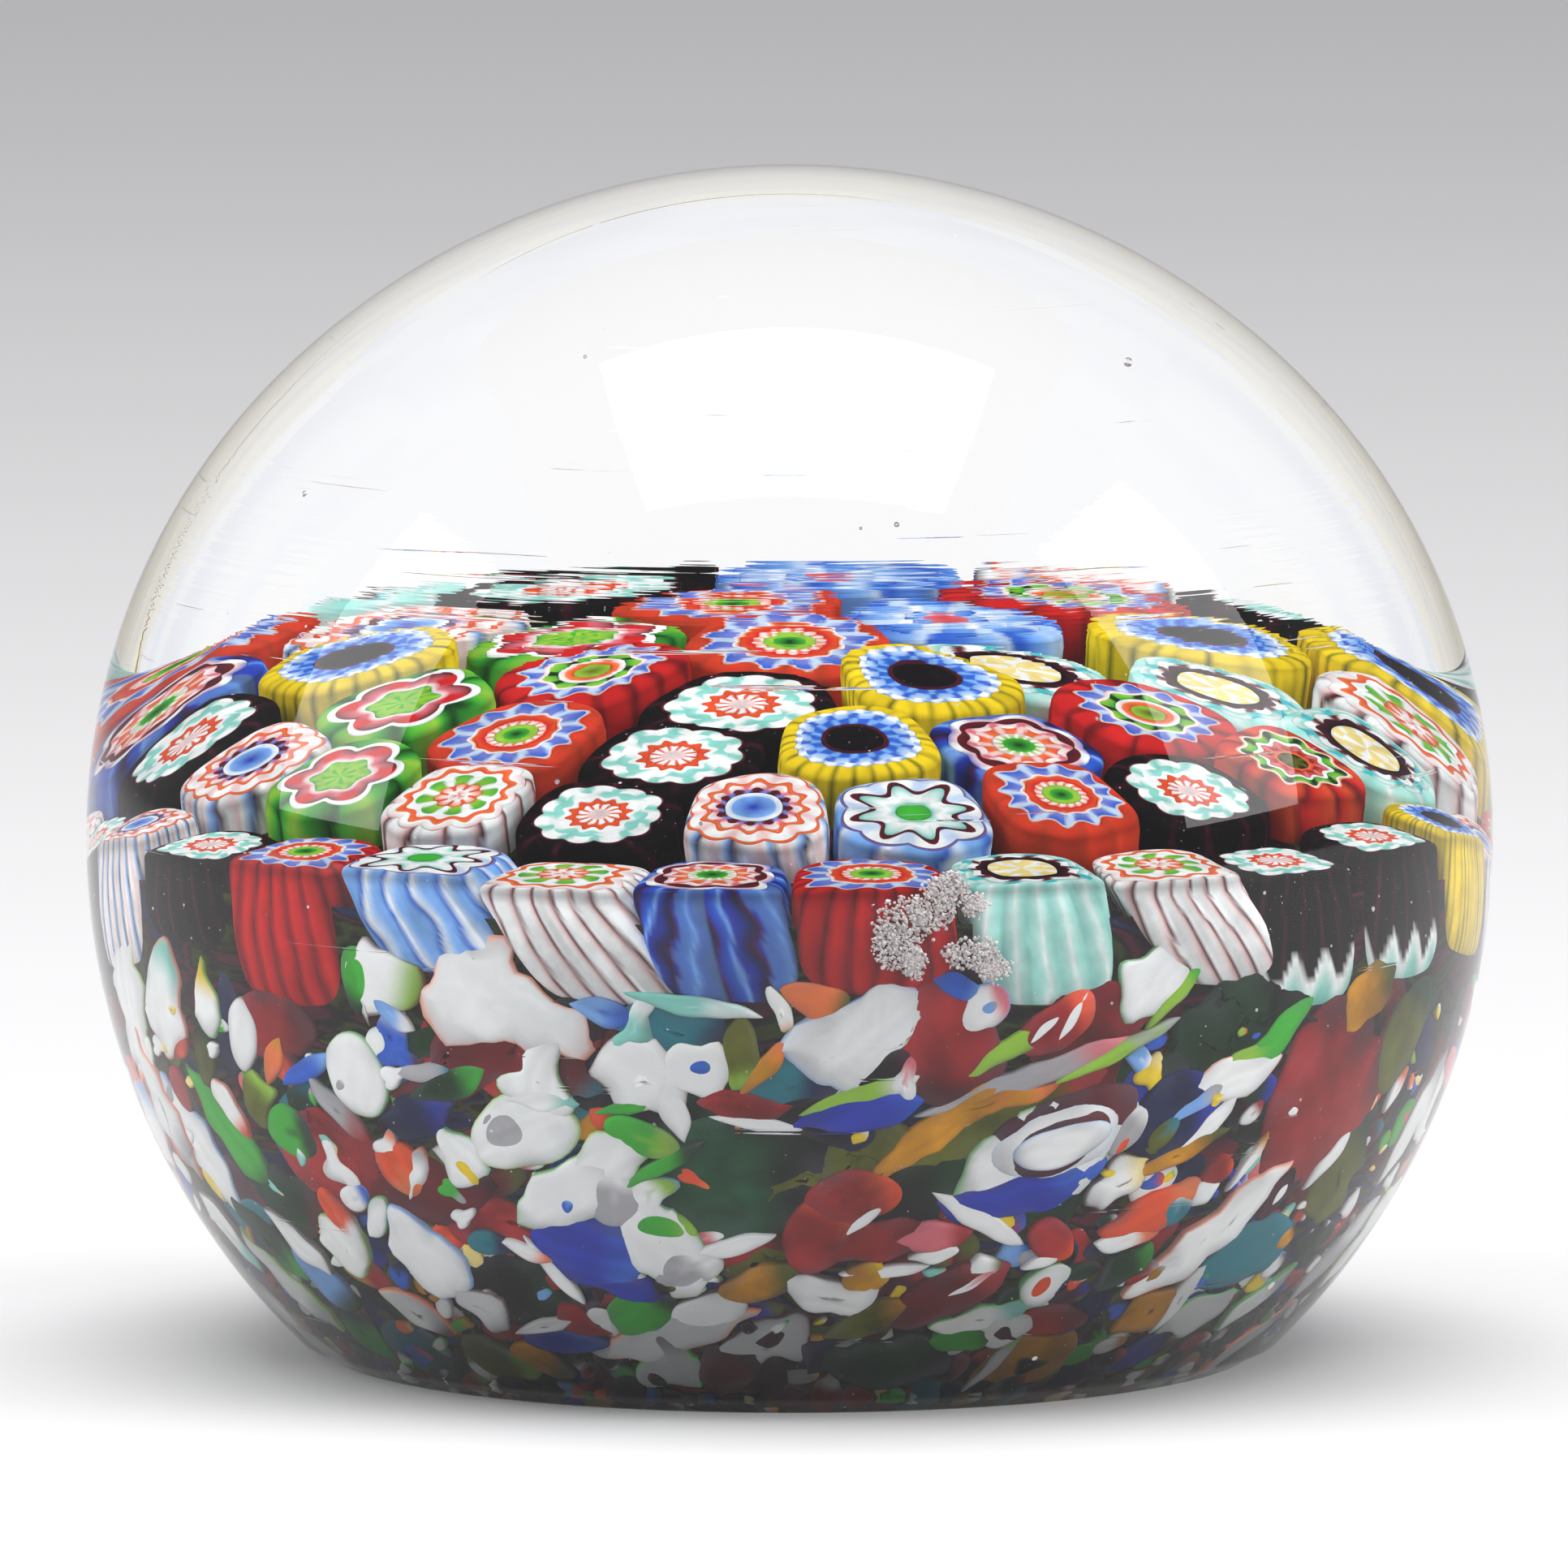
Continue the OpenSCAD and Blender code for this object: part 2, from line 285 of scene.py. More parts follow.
def tinted_glass(name, grain=900, variation=0.16, specks=0.0, roughness=0.35, shine=0.0):
    """Coloured glass: the tint attribute, with fine streaks and, on dark glass, seeds of dust. It lies in
    clear glass of the same index, so it has no shine of its own."""
    material, tree = new_material(name)
    out = add(tree, "OutputMaterial")
    shader = add(tree, "BsdfPrincipled", Roughness=roughness, Specular_IOR_Level=shine)
    tint = add(tree, "Attribute")
    tint.attribute_name = "tint"
    place = add(tree, "TexCoord")
    cloud = add(tree, "TexNoise", Scale=grain, Detail=4)
    level = add(tree, "MapRange", From_Min=0.3, From_Max=0.7, To_Min=1 - variation,
                To_Max=1 + variation * 0.5)
    shade = add(tree, "VectorMath", "SCALE")
    bump = add(tree, "Bump", Strength=0.08, Distance=0.0002)
    link(tree, place, "Object", cloud, "Vector")
    link(tree, cloud, "Fac", level, "Value")
    link(tree, tint, "Color", shade, 0)
    link(tree, level, "Result", shade, "Scale")
    if specks:
        seeds = add_seeds(tree, place, SEED_SCALE, specks)
        pale = add_pale(tree, seeds, shade, "Vector", SEED_TONE)
        link(tree, pale, "Result", shader, "Base Color")
    else:
        link(tree, shade, "Vector", shader, "Base Color")
    link(tree, cloud, "Fac", bump, "Height")
    link(tree, bump, "Normal", shader, "Normal")
    link(tree, shader, "BSDF", out, "Surface")
    return material


def marbled_glass(name, colours, grain, specks=0.04):
    """Dark glass with folds of several colours running through it."""
    material, tree = new_material(name)
    out = add(tree, "OutputMaterial")
    shader = add(tree, "BsdfPrincipled", Roughness=0.4, Specular_IOR_Level=0.0)
    place = add(tree, "TexCoord")
    scale = add(tree, "Mapping", Scale=(1, 1, 2.2), Rotation=(0.3, 0.5, 0))
    folds = add(tree, "TexNoise", Scale=grain, Detail=5, Distortion=1.6)
    bands = add(tree, "ValToRGB")
    bands.color_ramp.interpolation = "EASE"
    while len(bands.color_ramp.elements) < len(colours):
        bands.color_ramp.elements.new(0.5)
    for i, colour in enumerate(colours):
        bands.color_ramp.elements[i].position = FOLD_START + FOLD_SPAN * i / (len(colours) - 1)
        bands.color_ramp.elements[i].color = (*colour, 1)
    seeds = add_seeds(tree, place, BED_SEED_SCALE, specks, sparse=False)
    pale = add_pale(tree, seeds, bands, "Color", BED_SEED_TONE)
    link(tree, place, "Object", scale, "Vector")
    link(tree, scale, "Vector", folds, "Vector")
    link(tree, folds, "Fac", bands, "Fac")
    link(tree, pale, "Result", shader, "Base Color")
    link(tree, shader, "BSDF", out, "Surface")
    return material


def clear_glass(name):
    """Polished glass with a wavy belt, hairline scratches and dust. Shadow rays pass straight through it."""
    material, tree = new_material(name)
    out = add(tree, "OutputMaterial")
    glass = add(tree, "BsdfPrincipled", Base_Color=(0.995, 1.0, 0.992, 1), Roughness=0.0,
                Transmission_Weight=1.0, IOR=GLASS_INDEX, Specular_IOR_Level=0.45)
    place = add(tree, "TexCoord")
    scale = add(tree, "Mapping", Scale=(60, 60, 2600), Rotation=(0.05, 0.09, 0))
    hair = add(tree, "TexNoise", Scale=1.0, Detail=2)
    line = add(tree, "MapRange", From_Min=0.70, From_Max=0.76)
    apart = add(tree, "SeparateXYZ")
    belt = add(tree, "ValToRGB")
    belt.color_ramp.elements[0].position = 0.0
    belt.color_ramp.elements[1].position = 1.0
    belt.color_ramp.elements[1].color = (0, 0, 0, 1)
    for height, level in BELT:
        stop = belt.color_ramp.elements.new(height)
        stop.color = (level, level, level, 1)
    wavy = add(tree, "Math", "MULTIPLY")
    both = add(tree, "Math", "ADD")
    bump = add(tree, "Bump", Strength=0.3, Distance=0.00004)
    grit = add(tree, "BsdfDiffuse", Color=(0.7, 0.7, 0.68, 1))
    dust = add_seeds(tree, place, DUST_SCALE, DUST_SIZE)
    dusty = add(tree, "MixShader")
    through = add(tree, "BsdfTransparent", Color=(0.96, 0.975, 0.965, 1))
    path = add(tree, "LightPath")
    either = add(tree, "MixShader")
    link(tree, place, "Object", scale, "Vector")
    link(tree, scale, "Vector", hair, "Vector")
    link(tree, hair, "Fac", line, "Value")
    link(tree, place, "Object", apart, "Vector")
    link(tree, apart, "Z", belt, "Fac")
    link(tree, hair, "Fac", wavy, 0)
    link(tree, belt, "Color", wavy, 1)
    link(tree, line, "Result", both, 0)
    link(tree, wavy, "Value", both, 1)
    link(tree, both, "Value", bump, "Height")
    link(tree, bump, "Normal", glass, "Normal")
    link(tree, dust, "Value", dusty, "Fac")
    link(tree, glass, "BSDF", dusty, 1)
    link(tree, grit, "BSDF", dusty, 2)
    link(tree, path, "Is Shadow Ray", either, "Fac")
    link(tree, dusty, "Shader", either, 1)
    link(tree, through, "BSDF", either, 2)
    link(tree, either, "Shader", out, "Surface")
    return material


# ---------------------------------------------------------------- places read from the CAD frame
def solids_of(node):
    """Middle of each separate solid of a CAD node, in mm."""
    body = bmesh.new()
    body.from_mesh(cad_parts[node].data)
    bmesh.ops.remove_doubles(body, verts=body.verts, dist=1e-6)
    seen = set()
    middles = []
    for first in body.verts:
        if first.index in seen:
            continue
        seen.add(first.index)
        stack = [first]
        members = []
        while stack:
            vert = stack.pop()
            members.append(vert.co)
            for edge in vert.link_edges:
                other = edge.other_vert(vert)
                if other.index not in seen:
                    seen.add(other.index)
                    stack.append(other)
        low = Vector(min(c[k] for c in members) for k in range(3))
        high = Vector(max(c[k] for c in members) for k in range(3))
        middles.append((low + high) / (2 * MM))
    body.free()
    return middles


# ---------------------------------------------------------------- canes
# Bands of each pattern from the core outwards:
# (CAD node, lobes, outer radius, lobe height, colour inside, colour outside, ticks, colour of the ticks)
PATTERNS = {
    "A": [
        ("pearl_cores", 0, 0.50, 0.0, PEARL, BLUSH, 0, None),
        ("pearl_cores", 12, 1.00, 0.06, WHITE, WHITE, 12, VERMILION),
        ("orange_star_rings", 12, 1.40, 0.16, VERMILION, VERMILION, 0, None),
        ("aqua_star_layers", 12, 1.72, 0.14, WHITE, WHITE, 0, None),
        ("aqua_star_layers", -11, 2.15, 0.14, MINT, AQUA, 4, WHITE),
        ("aqua_star_layers", -11, 2.72, 0.16, WHITE, WHITE, 11, AQUA),
        ("aqua_star_layers", -11, 2.84, 0.17, MAROON, AUBERGINE, 0, None),
    ],
    "B": [
        ("black_cores", 0, 1.15, 0.0, BLACK, BLACK, 0, None),
        ("black_cores", 0, 1.35, 0.0, AUBERGINE, AUBERGINE, 0, None),
        ("blue_cog_layers", 14, 1.80, 0.05, BLUE, BLUE, 14, SKY),
        ("blue_cog_layers", 14, 2.25, 0.04, SKY, ICE, 14, BLUE),
        ("blue_cog_layers", 22, 2.55, 0.07, WHITE, WHITE, 22, SKY),
    ],
    "C": [
        ("green_cores", 0, 0.5, 0.0, BOTTLE, GREEN, 0, None),
        ("green_cores", 0, 0.82, 0.0, LIME, LIME, 0, None),
        ("red_rings", 16, 1.12, 0.03, WHITE, BLUSH, 16, ORANGE),
        ("red_rings", 12, 1.52, 0.04, RED, VERMILION, 0, None),
        ("blue_star_layers", 12, 1.70, 0.08, ORANGE, WHITE, 0, None),
        ("blue_star_layers", 12, 2.45, 0.22, LAVENDER, BLUE, 12, ICE),
        ("blue_star_layers", 12, 2.62, 0.24, ICE, ORANGE, 0, None),
    ],
    "D": [
        ("cobalt_cores", 0, 0.95, 0.0, COBALT, SKY, 0, None),
        ("cobalt_cores", 0, 1.25, 0.0, ICE, WHITE, 0, None),
        ("white_rings", 12, 1.60, 0.10, AUBERGINE, MAROON, 12, LAVENDER),
        ("white_rings", 12, 2.00, 0.14, BLUSH, WHITE, 12, ROSE),
        ("red_star_layers", 12, 2.28, 0.20, ORANGE, VERMILION, 0, None),
        ("red_star_layers", -12, 2.80, 0.14, WHITE, WHITE, 12, BLUSH),
        ("red_star_layers", -12, 2.94, 0.14, VERMILION, ORANGE, 0, None),
    ],
    "E": [
        ("lime_cores", 6, 0.8, 0.10, LIME, LIME, 7, GREEN),
        ("lime_cores", 6, 1.35, 0.14, LIME, GREEN, 13, LIME),
        ("pink_flower_layers", -6, 1.62, 0.20, WHITE, ROSE, 0, None),
        ("pink_flower_layers", -6, 2.30, 0.34, ROSE, MAROON, 6, RED),
        ("pink_flower_layers", -6, 2.62, 0.38, WHITE, WHITE, 0, None),
    ],
    "F": [
        ("emerald_cores", 0, 0.72, 0.0, GREEN, GREEN, 0, None),
        ("pale_star_layers", 8, 1.15, 0.15, AQUA, WHITE, 0, None),
        ("pale_star_layers", 8, 1.95, 0.42, WHITE, AQUA, 8, WHITE),
        ("aubergine_star_lines", 8, 2.28, 0.48, AUBERGINE, MAROON, 0, None),
        ("aubergine_star_lines", -8, 2.82, 0.16, WHITE, WHITE, 8, ICE),
        ("aubergine_star_lines", -8, 2.95, 0.16, MAROON, LAVENDER, 0, None),
    ],
    "G": [
        ("cream_cores", 0, 1.0, 0.0, CREAM, CREAM, 4, WHITE),
        ("cream_cores", 0, 1.50, 0.0, CREAM, CREAM, 9, WHITE),
        ("brown_rings", 10, 2.00, 0.10, BLACK, AUBERGINE, 0, None),
        ("white_star_layers", 10, 2.40, 0.12, WHITE, WHITE, 10, MAROON),
        ("white_star_layers", -10, 2.80, 0.14, AQUA, WHITE, 10, TURQUOISE),
    ],
    "H": [
        ("rose_cores", 0, 0.6, 0.0, RED, ROSE, 0, None),
        ("rose_cores", 0, 1.1, 0.0, SKY, BLUE, 8, ICE),
        ("ice_rings", 8, 1.6, 0.12, ICE, SKY, 8, WHITE),
        ("ice_rings", -8, 2.35, 0.16, SKY, BLUE, 8, ICE),
    ],
    "I": [
        ("scarlet_cores", 0, 0.45, 0.0, VERMILION, WHITE, 3, WHITE),
        ("scarlet_cores", -8, 0.95, 0.08, WHITE, ORANGE, 8, VERMILION),
        ("green_wreath_layers", -8, 1.60, 0.16, LIME, GREEN, 8, WHITE),
        ("green_wreath_layers", 12, 1.98, 0.12, WHITE, WHITE, 0, None),
        ("green_wreath_layers", 12, 2.34, 0.20, VERMILION, ORANGE, 0, None),
        ("green_wreath_layers", -12, 2.72, 0.16, WHITE, BLUSH, 12, WHITE),
    ],
    "J": [
        ("dark_cores", 0, 0.75, 0.0, OLIVE, BLACK, 6, OLIVE),
        ("crimson_rings", 10, 1.05, 0.08, ORANGE, RED, 0, None),
        ("crimson_rings", 10, 1.55, 0.16, MAROON, VERMILION, 10, ROSE),
        ("green_star_layers", 10, 1.80, 0.16, WHITE, WHITE, 0, None),
        ("green_star_layers", 10, 2.35, 0.22, GREEN, LIME, 10, BOTTLE),
        ("green_star_layers", 10, 2.60, 0.24, WHITE, ORANGE, 0, None),
    ],
    "R": [
        ("dark_cores", 0, 0.70, 0.0, OLIVE, LIME, 0, None),
        ("crimson_rings", 0, 1.02, 0.0, VERMILION, ORANGE, 0, None),
        ("crimson_rings", 0, 1.28, 0.0, BLUSH, WHITE, 0, None),
        ("green_star_layers", 8, 1.75, 0.12, GREEN, LIME, 8, BOTTLE),
        ("green_star_layers", 8, 1.95, 0.14, WHITE, BLUSH, 0, None),
        ("green_star_layers", 12, 2.50, 0.22, LAVENDER, BLUE, 12, ICE),
        ("green_star_layers", 12, 2.66, 0.24, ICE, ORANGE, 0, None),
    ],
    "K": [
        ("moss_cores", 0, 0.62, 0.0, BOTTLE, GREEN, 0, None),
        ("moss_cores", 0, 1.0, 0.0, LIME, BLUSH, 14, WHITE),
        ("coral_star_layers", 10, 1.55, 0.10, ORANGE, VERMILION, 10, BLUSH),
        ("coral_star_layers", 10, 1.90, 0.12, WHITE, BLUSH, 10, ROSE),
        ("coral_star_layers", -7, 2.20, 0.16, AUBERGINE, MAROON, 0, None),
        ("coral_star_layers", -7, 2.55, 0.16, BLUSH, LAVENDER, 7, WHITE),
    ],
}

# Casing of each pattern:
# (CAD node, flutes, groove depth, lift above the cushion, stripes round it, colours along one stripe)
CASINGS = {
    "A": ("aubergine_casings", 11, 0.05, -0.1, 11, [(0, BLACK), (0.8, BLACK), (0.9, AUBERGINE), (1, BLACK)]),
    "B": ("yellow_casings", 22, 0.05, 0.75, 26,
          [(0, YELLOW), (0.55, YELLOW), (0.75, OLIVE), (0.9, YELLOW), (1, YELLOW)]),
    "C": ("red_casings", 12, 0.14, 0.3, 12,
          [(0, RED), (0.45, CRIMSON), (0.7, MAROON), (0.85, CRIMSON), (1, RED)]),
    "D": ("striped_casings", 12, 0.12, 0.2, 12,
          [(0, WHITE), (0.35, BLUSH), (0.5, WHITE), (0.72, SKY), (0.85, AUBERGINE), (1, WHITE)]),
    "E": ("green_casings", 6, 0.35, 0.35, 6,
          [(0, GREEN), (0.4, LIME), (0.6, GREEN), (0.9, BOTTLE), (1, GREEN)]),
    "F": ("white_blue_casings", 8, 0.10, 0.2, 8,
          [(0, ICE), (0.3, SKY), (0.55, SKY), (0.75, BLUE), (0.86, ICE), (1, WHITE)]),
    "G": ("turquoise_casings", 10, 0.12, 0.1, 10,
          [(0, MINT), (0.4, PALE_MINT), (0.52, WHITE), (0.62, PALE_MINT), (1, MINT)]),
    "H": ("bright_blue_casings", 8, 0.12, 0.0, 8,
          [(0, BLUE), (0.5, SKY), (0.7, ICE), (0.8, BLUE), (1, BLUE)]),
    "I": ("orange_casings", 12, 0.12, 0.2, 12,
          [(0, WHITE), (0.45, WHITE), (0.70, BLUSH), (0.82, MAROON), (0.9, AUBERGINE), (0.97, WHITE),
           (1, WHITE)]),
    "J": ("dark_red_casings", 10, 0.14, 0.3, 10, [(0, RED), (0.5, VERMILION), (0.75, MAROON), (1, RED)]),
    "R": ("dark_red_casings", 12, 0.12, 0.4, 12, [(0, RED), (0.5, RED), (0.75, MAROON), (1, RED)]),
    "K": ("cobalt_casings", 7, 0.30, 0.3, 7,
          [(0, COBALT), (0.3, BLUE), (0.40, SKY), (0.5, COBALT), (0.8, NAVY), (0.9, AUBERGINE), (1, COBALT)]),
}

# Canes of the front of the outer ring, which lean and end at different depths: (turn, lean, reach, wobble)
FRONT_CANES = [
    (-93, 0.2, 5.0, 0.1), (-79, 0.1, 6.2, 0.1), (-65, 0.2, 3.6, 0.1), (-50, 0.15, 6.6, 0.12),
    (-36, 0.7, 4.6, 0.3), (-22, 0.75, 5.4, 0.10), (-7, 0.25, 5.3, 0.30), (7, 0.05, 4.8, 0.12),
    (22, 0.15, 5.8, 0.10), (36, 0.75, 5.0, 0.12), (51, 0.1, 6.6, 0.1), (65, 0.1, 6.3, 0.05),
    (79, 0.1, 5.2, 0.05)
]


# How much of a cane's width its star takes up
FILL = {"A": 0.80, "B": 0.80, "C": 0.90, "D": 0.95, "E": 0.88, "F": 0.95, "G": 0.88, "H": 0.86, "I": 0.94,
        "J": 0.84, "R": 0.82, "K": 0.86}


def read_canes():
    """One record for each cane, in a fixed order, with its axis and its two sideways directions."""
    canes = []
    for pattern, casing in CASINGS.items():
        if pattern == "R":
            continue
        for middle in solids_of(casing[0]):
            axis = (middle - CUSHION_CENTRE).normalized()
            arc = CUSHION_R * math.acos(min(axis.z, 1))
            turn = turn_of(axis)
            out = Vector((axis.x, axis.y, 0)).normalized() if arc > 1 else Vector((0, -1, 0))
            side = Vector((0, 0, 1)).cross(out)
            out = side.cross(axis)
            canes.append({"pattern": pattern, "axis": axis, "arc": arc, "turn": turn, "out": out,
                          "side": side})
    canes.sort(key=lambda cane: (round(cane["arc"]), round(cane["turn"])))
    for i, cane in enumerate(canes):
        rng = random.Random(100 + i)
        if cane["pattern"] == "J" and is_ringed(cane):
            cane["pattern"] = "R"
        cane["top"] = CUSHION_CENTRE + cane["axis"] * CUSHION_R
        cane["seed"] = i
        cane["spin"] = rng.uniform(0, math.tau)
        cane["weight"] = rng.uniform(0.93, 1.07)
        far = smooth(-2, 14, cane["top"].y)
        cane["lift"] = (CASINGS[cane["pattern"]][3] + rng.uniform(-0.25, 0.25)) * (1 - 0.8 * far)
        cane["sink"] = PILLOW_DEPTH * (1 - 0.55 * far)
        if cane["arc"] > OUTER_ARC:
            cane["lift"] -= OUTER_SINK
        cane["outer"] = cane["arc"] > OUTER_ARC
        cane["level"] = OUTER_LEVEL if cane["outer"] else INNER_LEVEL * smooth(130, 90, abs(cane["turn"]))
        if cane["pattern"] == "A":
            cane["weight"] *= 1.20
        cane["lean"] = 0.3 if cane["outer"] else rng.uniform(-0.08, 0.08)
        cane["reach"] = rng.uniform(4.2, 6.0) if cane["outer"] else CANE_LEN - 1.2
        cane["wobble"] = rng.uniform(0.1, 0.4)
        cane["skin"] = rng.uniform(0.08, 0.35)
        for turn, lean, reach, wobble in FRONT_CANES:
            if cane["outer"] and abs(cane["turn"] - turn) < 6:
                cane.update(lean=lean, reach=reach, wobble=wobble)
    return canes


def is_ringed(cane):
    """The red canes with a blue star stand in the two inner rings."""
    return cane["arc"] < 20


def find_neighbours(canes):
    """For each cane, the line half way to each neighbour, in the plane square to its axis."""
    for cane in canes:
        walls = []
        for other in canes:
            gap = other["top"] - cane["top"]
            if other is cane or gap.length > 13:
                continue
            u = gap.dot(cane["out"])
            v = gap.dot(cane["side"])
            away = math.hypot(u, v)
            share = cane["weight"] / (cane["weight"] + other["weight"])
            walls.append((u / away, v / away, away * share - CANE_GAP))
        cane["walls"] = walls


def cell_radius(cane, angle):
    """Distance from the axis to the rounded edge of the cane's cell."""
    x = math.cos(angle)
    y = math.sin(angle)
    cap = CELL_CAP
    if cane["outer"]:
        cap += OUTER_BULGE * max(x, 0)
    total = cap ** -CELL_ROUNDING
    for u, v, half in cane["walls"]:
        facing = u * x + v * y
        if facing > 0.15:
            total += (half / facing) ** -CELL_ROUNDING
    return total ** (-1 / CELL_ROUNDING)


def held_radius(cane, angle, radius, depth):
    """A radius of the cane held softly inside the skin of the coloured glass."""
    direction = cane["out"] * math.cos(angle) + cane["side"] * math.sin(angle)
    start = cane["top"] + cane["axis"] * (cane["lift"] - depth)
    limit = wall_radius(cane, start, direction)
    return (radius ** -HOLD + limit ** -HOLD) ** (-1 / HOLD)


def wall_radius(cane, start, direction):
    """Distance from a point on the axis to the skin of the coloured glass."""
    offset = start - SET_CENTRE
    along = offset.dot(direction)
    inside = (SET_R - cane["skin"]) ** 2 - offset.length_squared + along * along
    return -along + math.sqrt(max(inside, 0.01))


def cane_point(cane, angle, radius, depth, tuck=1.0):
    """A point of a cane, held inside the skin of the coloured glass and drawn in by tuck."""
    shift = cane["side"] * (cane["lean"] * max(depth, 0))
    start = cane["top"] + cane["axis"] * (cane["lift"] - depth) + shift
    direction = cane["out"] * math.cos(angle) + cane["side"] * math.sin(angle)
    limit = wall_radius(cane, start, direction)
    if radius > 0.5 * limit:
        radius = (radius ** -HOLD + limit ** -HOLD) ** (-1 / HOLD)
    return start + direction * (radius * tuck)


def top_depth(cane, radius, angle):
    """How far the rounded top of a cane has sunk at a place on it; the outer canes lean back to level."""
    share = min(radius / cane["cell"][angle], 1.0)
    return cane["sink"] * (1 - (1 - share ** 6) ** 0.17) - cane["level"] * radius * math.cos(angle)


def lobe_wave(lobes, angle):
    """A wave from -1 to 1: pointed crests, or round petals with sharp notches where lobes is negative."""
    if not lobes:
        return 0.0
    if lobes < 0:
        return 2 * abs(math.cos(lobes * angle / 2)) ** 0.8 - 1
    wave = 0.5 + 0.5 * math.cos(lobes * angle)
    return 2 * wave ** 1.4 - 1


def band_colour(band, across, angle, cane):
    """Colour inside one band, from its inner edge at 0 to its outer edge at 1."""
    colour = mix(band[4], band[5], across)
    if band[6]:
        wave = 0.5 + 0.5 * math.cos(band[6] * angle + 0.7 * across + cane["spin"])
        colour = mix(colour, band[7], smooth(0.55, 0.85, wave))
    blot = noise.noise(Vector((math.cos(angle) * 2 + across, math.sin(angle) * 2, cane["seed"] * 3.7)))
    # The top's colour is darkened by a fixed factor: painted shade against the overhead light
    return tuple(c * TOP_PAINTED_SHADE * (1 + 0.18 * blot) for c in colour)


def stripe_colour(cane, angle, depth):
    """Colour of the side of a cane, in stripes that follow its twist."""
    count, stops = CASINGS[cane["pattern"]][4:]
    count *= 1 + cane["outer"]
    spot = Vector((2.2 * math.cos(angle), 2.2 * math.sin(angle), 0.55 * depth + cane["seed"]))
    wander = cane["wobble"] * noise.noise(spot)
    place = count * (angle + cane["spin"]) / math.tau + 1.6 * wander
    colour = ramp(stops, place % 1)
    shade = noise.noise(Vector((math.floor(place) * 1.7, cane["seed"] * 2.3, 0.25 * depth)))
    colour = tuple(c * (1 + 0.35 * shade) for c in colour)
    if cane["pattern"] == "C" and not cane["outer"]:
        colour = mix(colour, VERMILION, 0.5)
    if cane["pattern"] == "K" and math.floor(place) % 3 == 0:
        colour = mix(colour, SKY, 0.35)
    if cane["pattern"] == "A" and cane["outer"] and cane["reach"] > 6:
        tooth = 0.5 + 0.5 * math.cos(TOOTH_COUNT * angle + cane["spin"])
        edge = 4.7 - 1.5 * tooth
        colour = mix(colour, mix(WHITE, AQUA, smooth(0, 2, depth - edge)), smooth(-0.1, 0.1, depth - edge))
    return colour


def outline_radius(cane, band, angle):
    """Radius of a band's outer edge; the outer bands follow the squeezed shape of the cane."""
    size = cane["scale"] * (band[2] + band[3] * lobe_wave(band[1], angle + cane["spin"] / 3))
    squeeze = cane["cell"][angle] / cane["middling"] - 1
    share = min(size / (FILL[cane["pattern"]] * cane["middling"]), 1)
    return min(size * (1 + 0.85 * share * squeeze), cane["cell"][angle] * 0.97)


def taper_row(cane, band, angles, taper, depth):
    """A row of points below a band's outer edge, drawn in by taper."""
    return [cane_point(cane, a, outline_radius(cane, band, a) * taper, depth) for a in angles]


def build_layers(cane, angles, solids):
    """The star layers of one cane: each CAD node's bands make one closed body."""
    bands = PATTERNS[cane["pattern"]]
    done = 0
    while done < len(bands):
        node = bands[done][0]
        group = []
        while done < len(bands) and bands[done][0] == node:
            group.append((done, bands[done]))
            done += 1
        rows = []
        tints = []
        for index, band in group:
            inner = bands[index - 1] if index else None
            for across in (0.0, 0.35, 0.7, 1.0):
                row = []
                tint = []
                for angle in angles:
                    outer_r = outline_radius(cane, band, angle) - BAND_GAP
                    inner_r = outline_radius(cane, inner, angle) + BAND_GAP if inner else 0.05
                    radius = inner_r + (outer_r - inner_r) * across
                    depth = top_depth(cane, radius, angle)
                    row.append(cane_point(cane, angle, radius, depth))
                    tint.append(band_colour(band, across, angle, cane))
                rows.append(row)
                tints.append(tint)
        last = group[-1][1]
        rows.append(taper_row(cane, last, angles, STAR_TAPER, STAR_FOOT))
        tints.append(tints[-1])
        if group[0][0] == 0:
            top = cane["top"] + cane["axis"] * cane["lift"]
            base = cane_point(cane, 0, 0, STAR_FOOT)
            solids[node].rows(rows, tints, ((top, group[0][1][4]), (base, last[5])))
        else:
            before = bands[group[0][0] - 1]
            rows.append(taper_row(cane, before, angles, STAR_TAPER, STAR_FOOT))
            tints.append(tints[0])
            solids[node].rows(rows, tints)


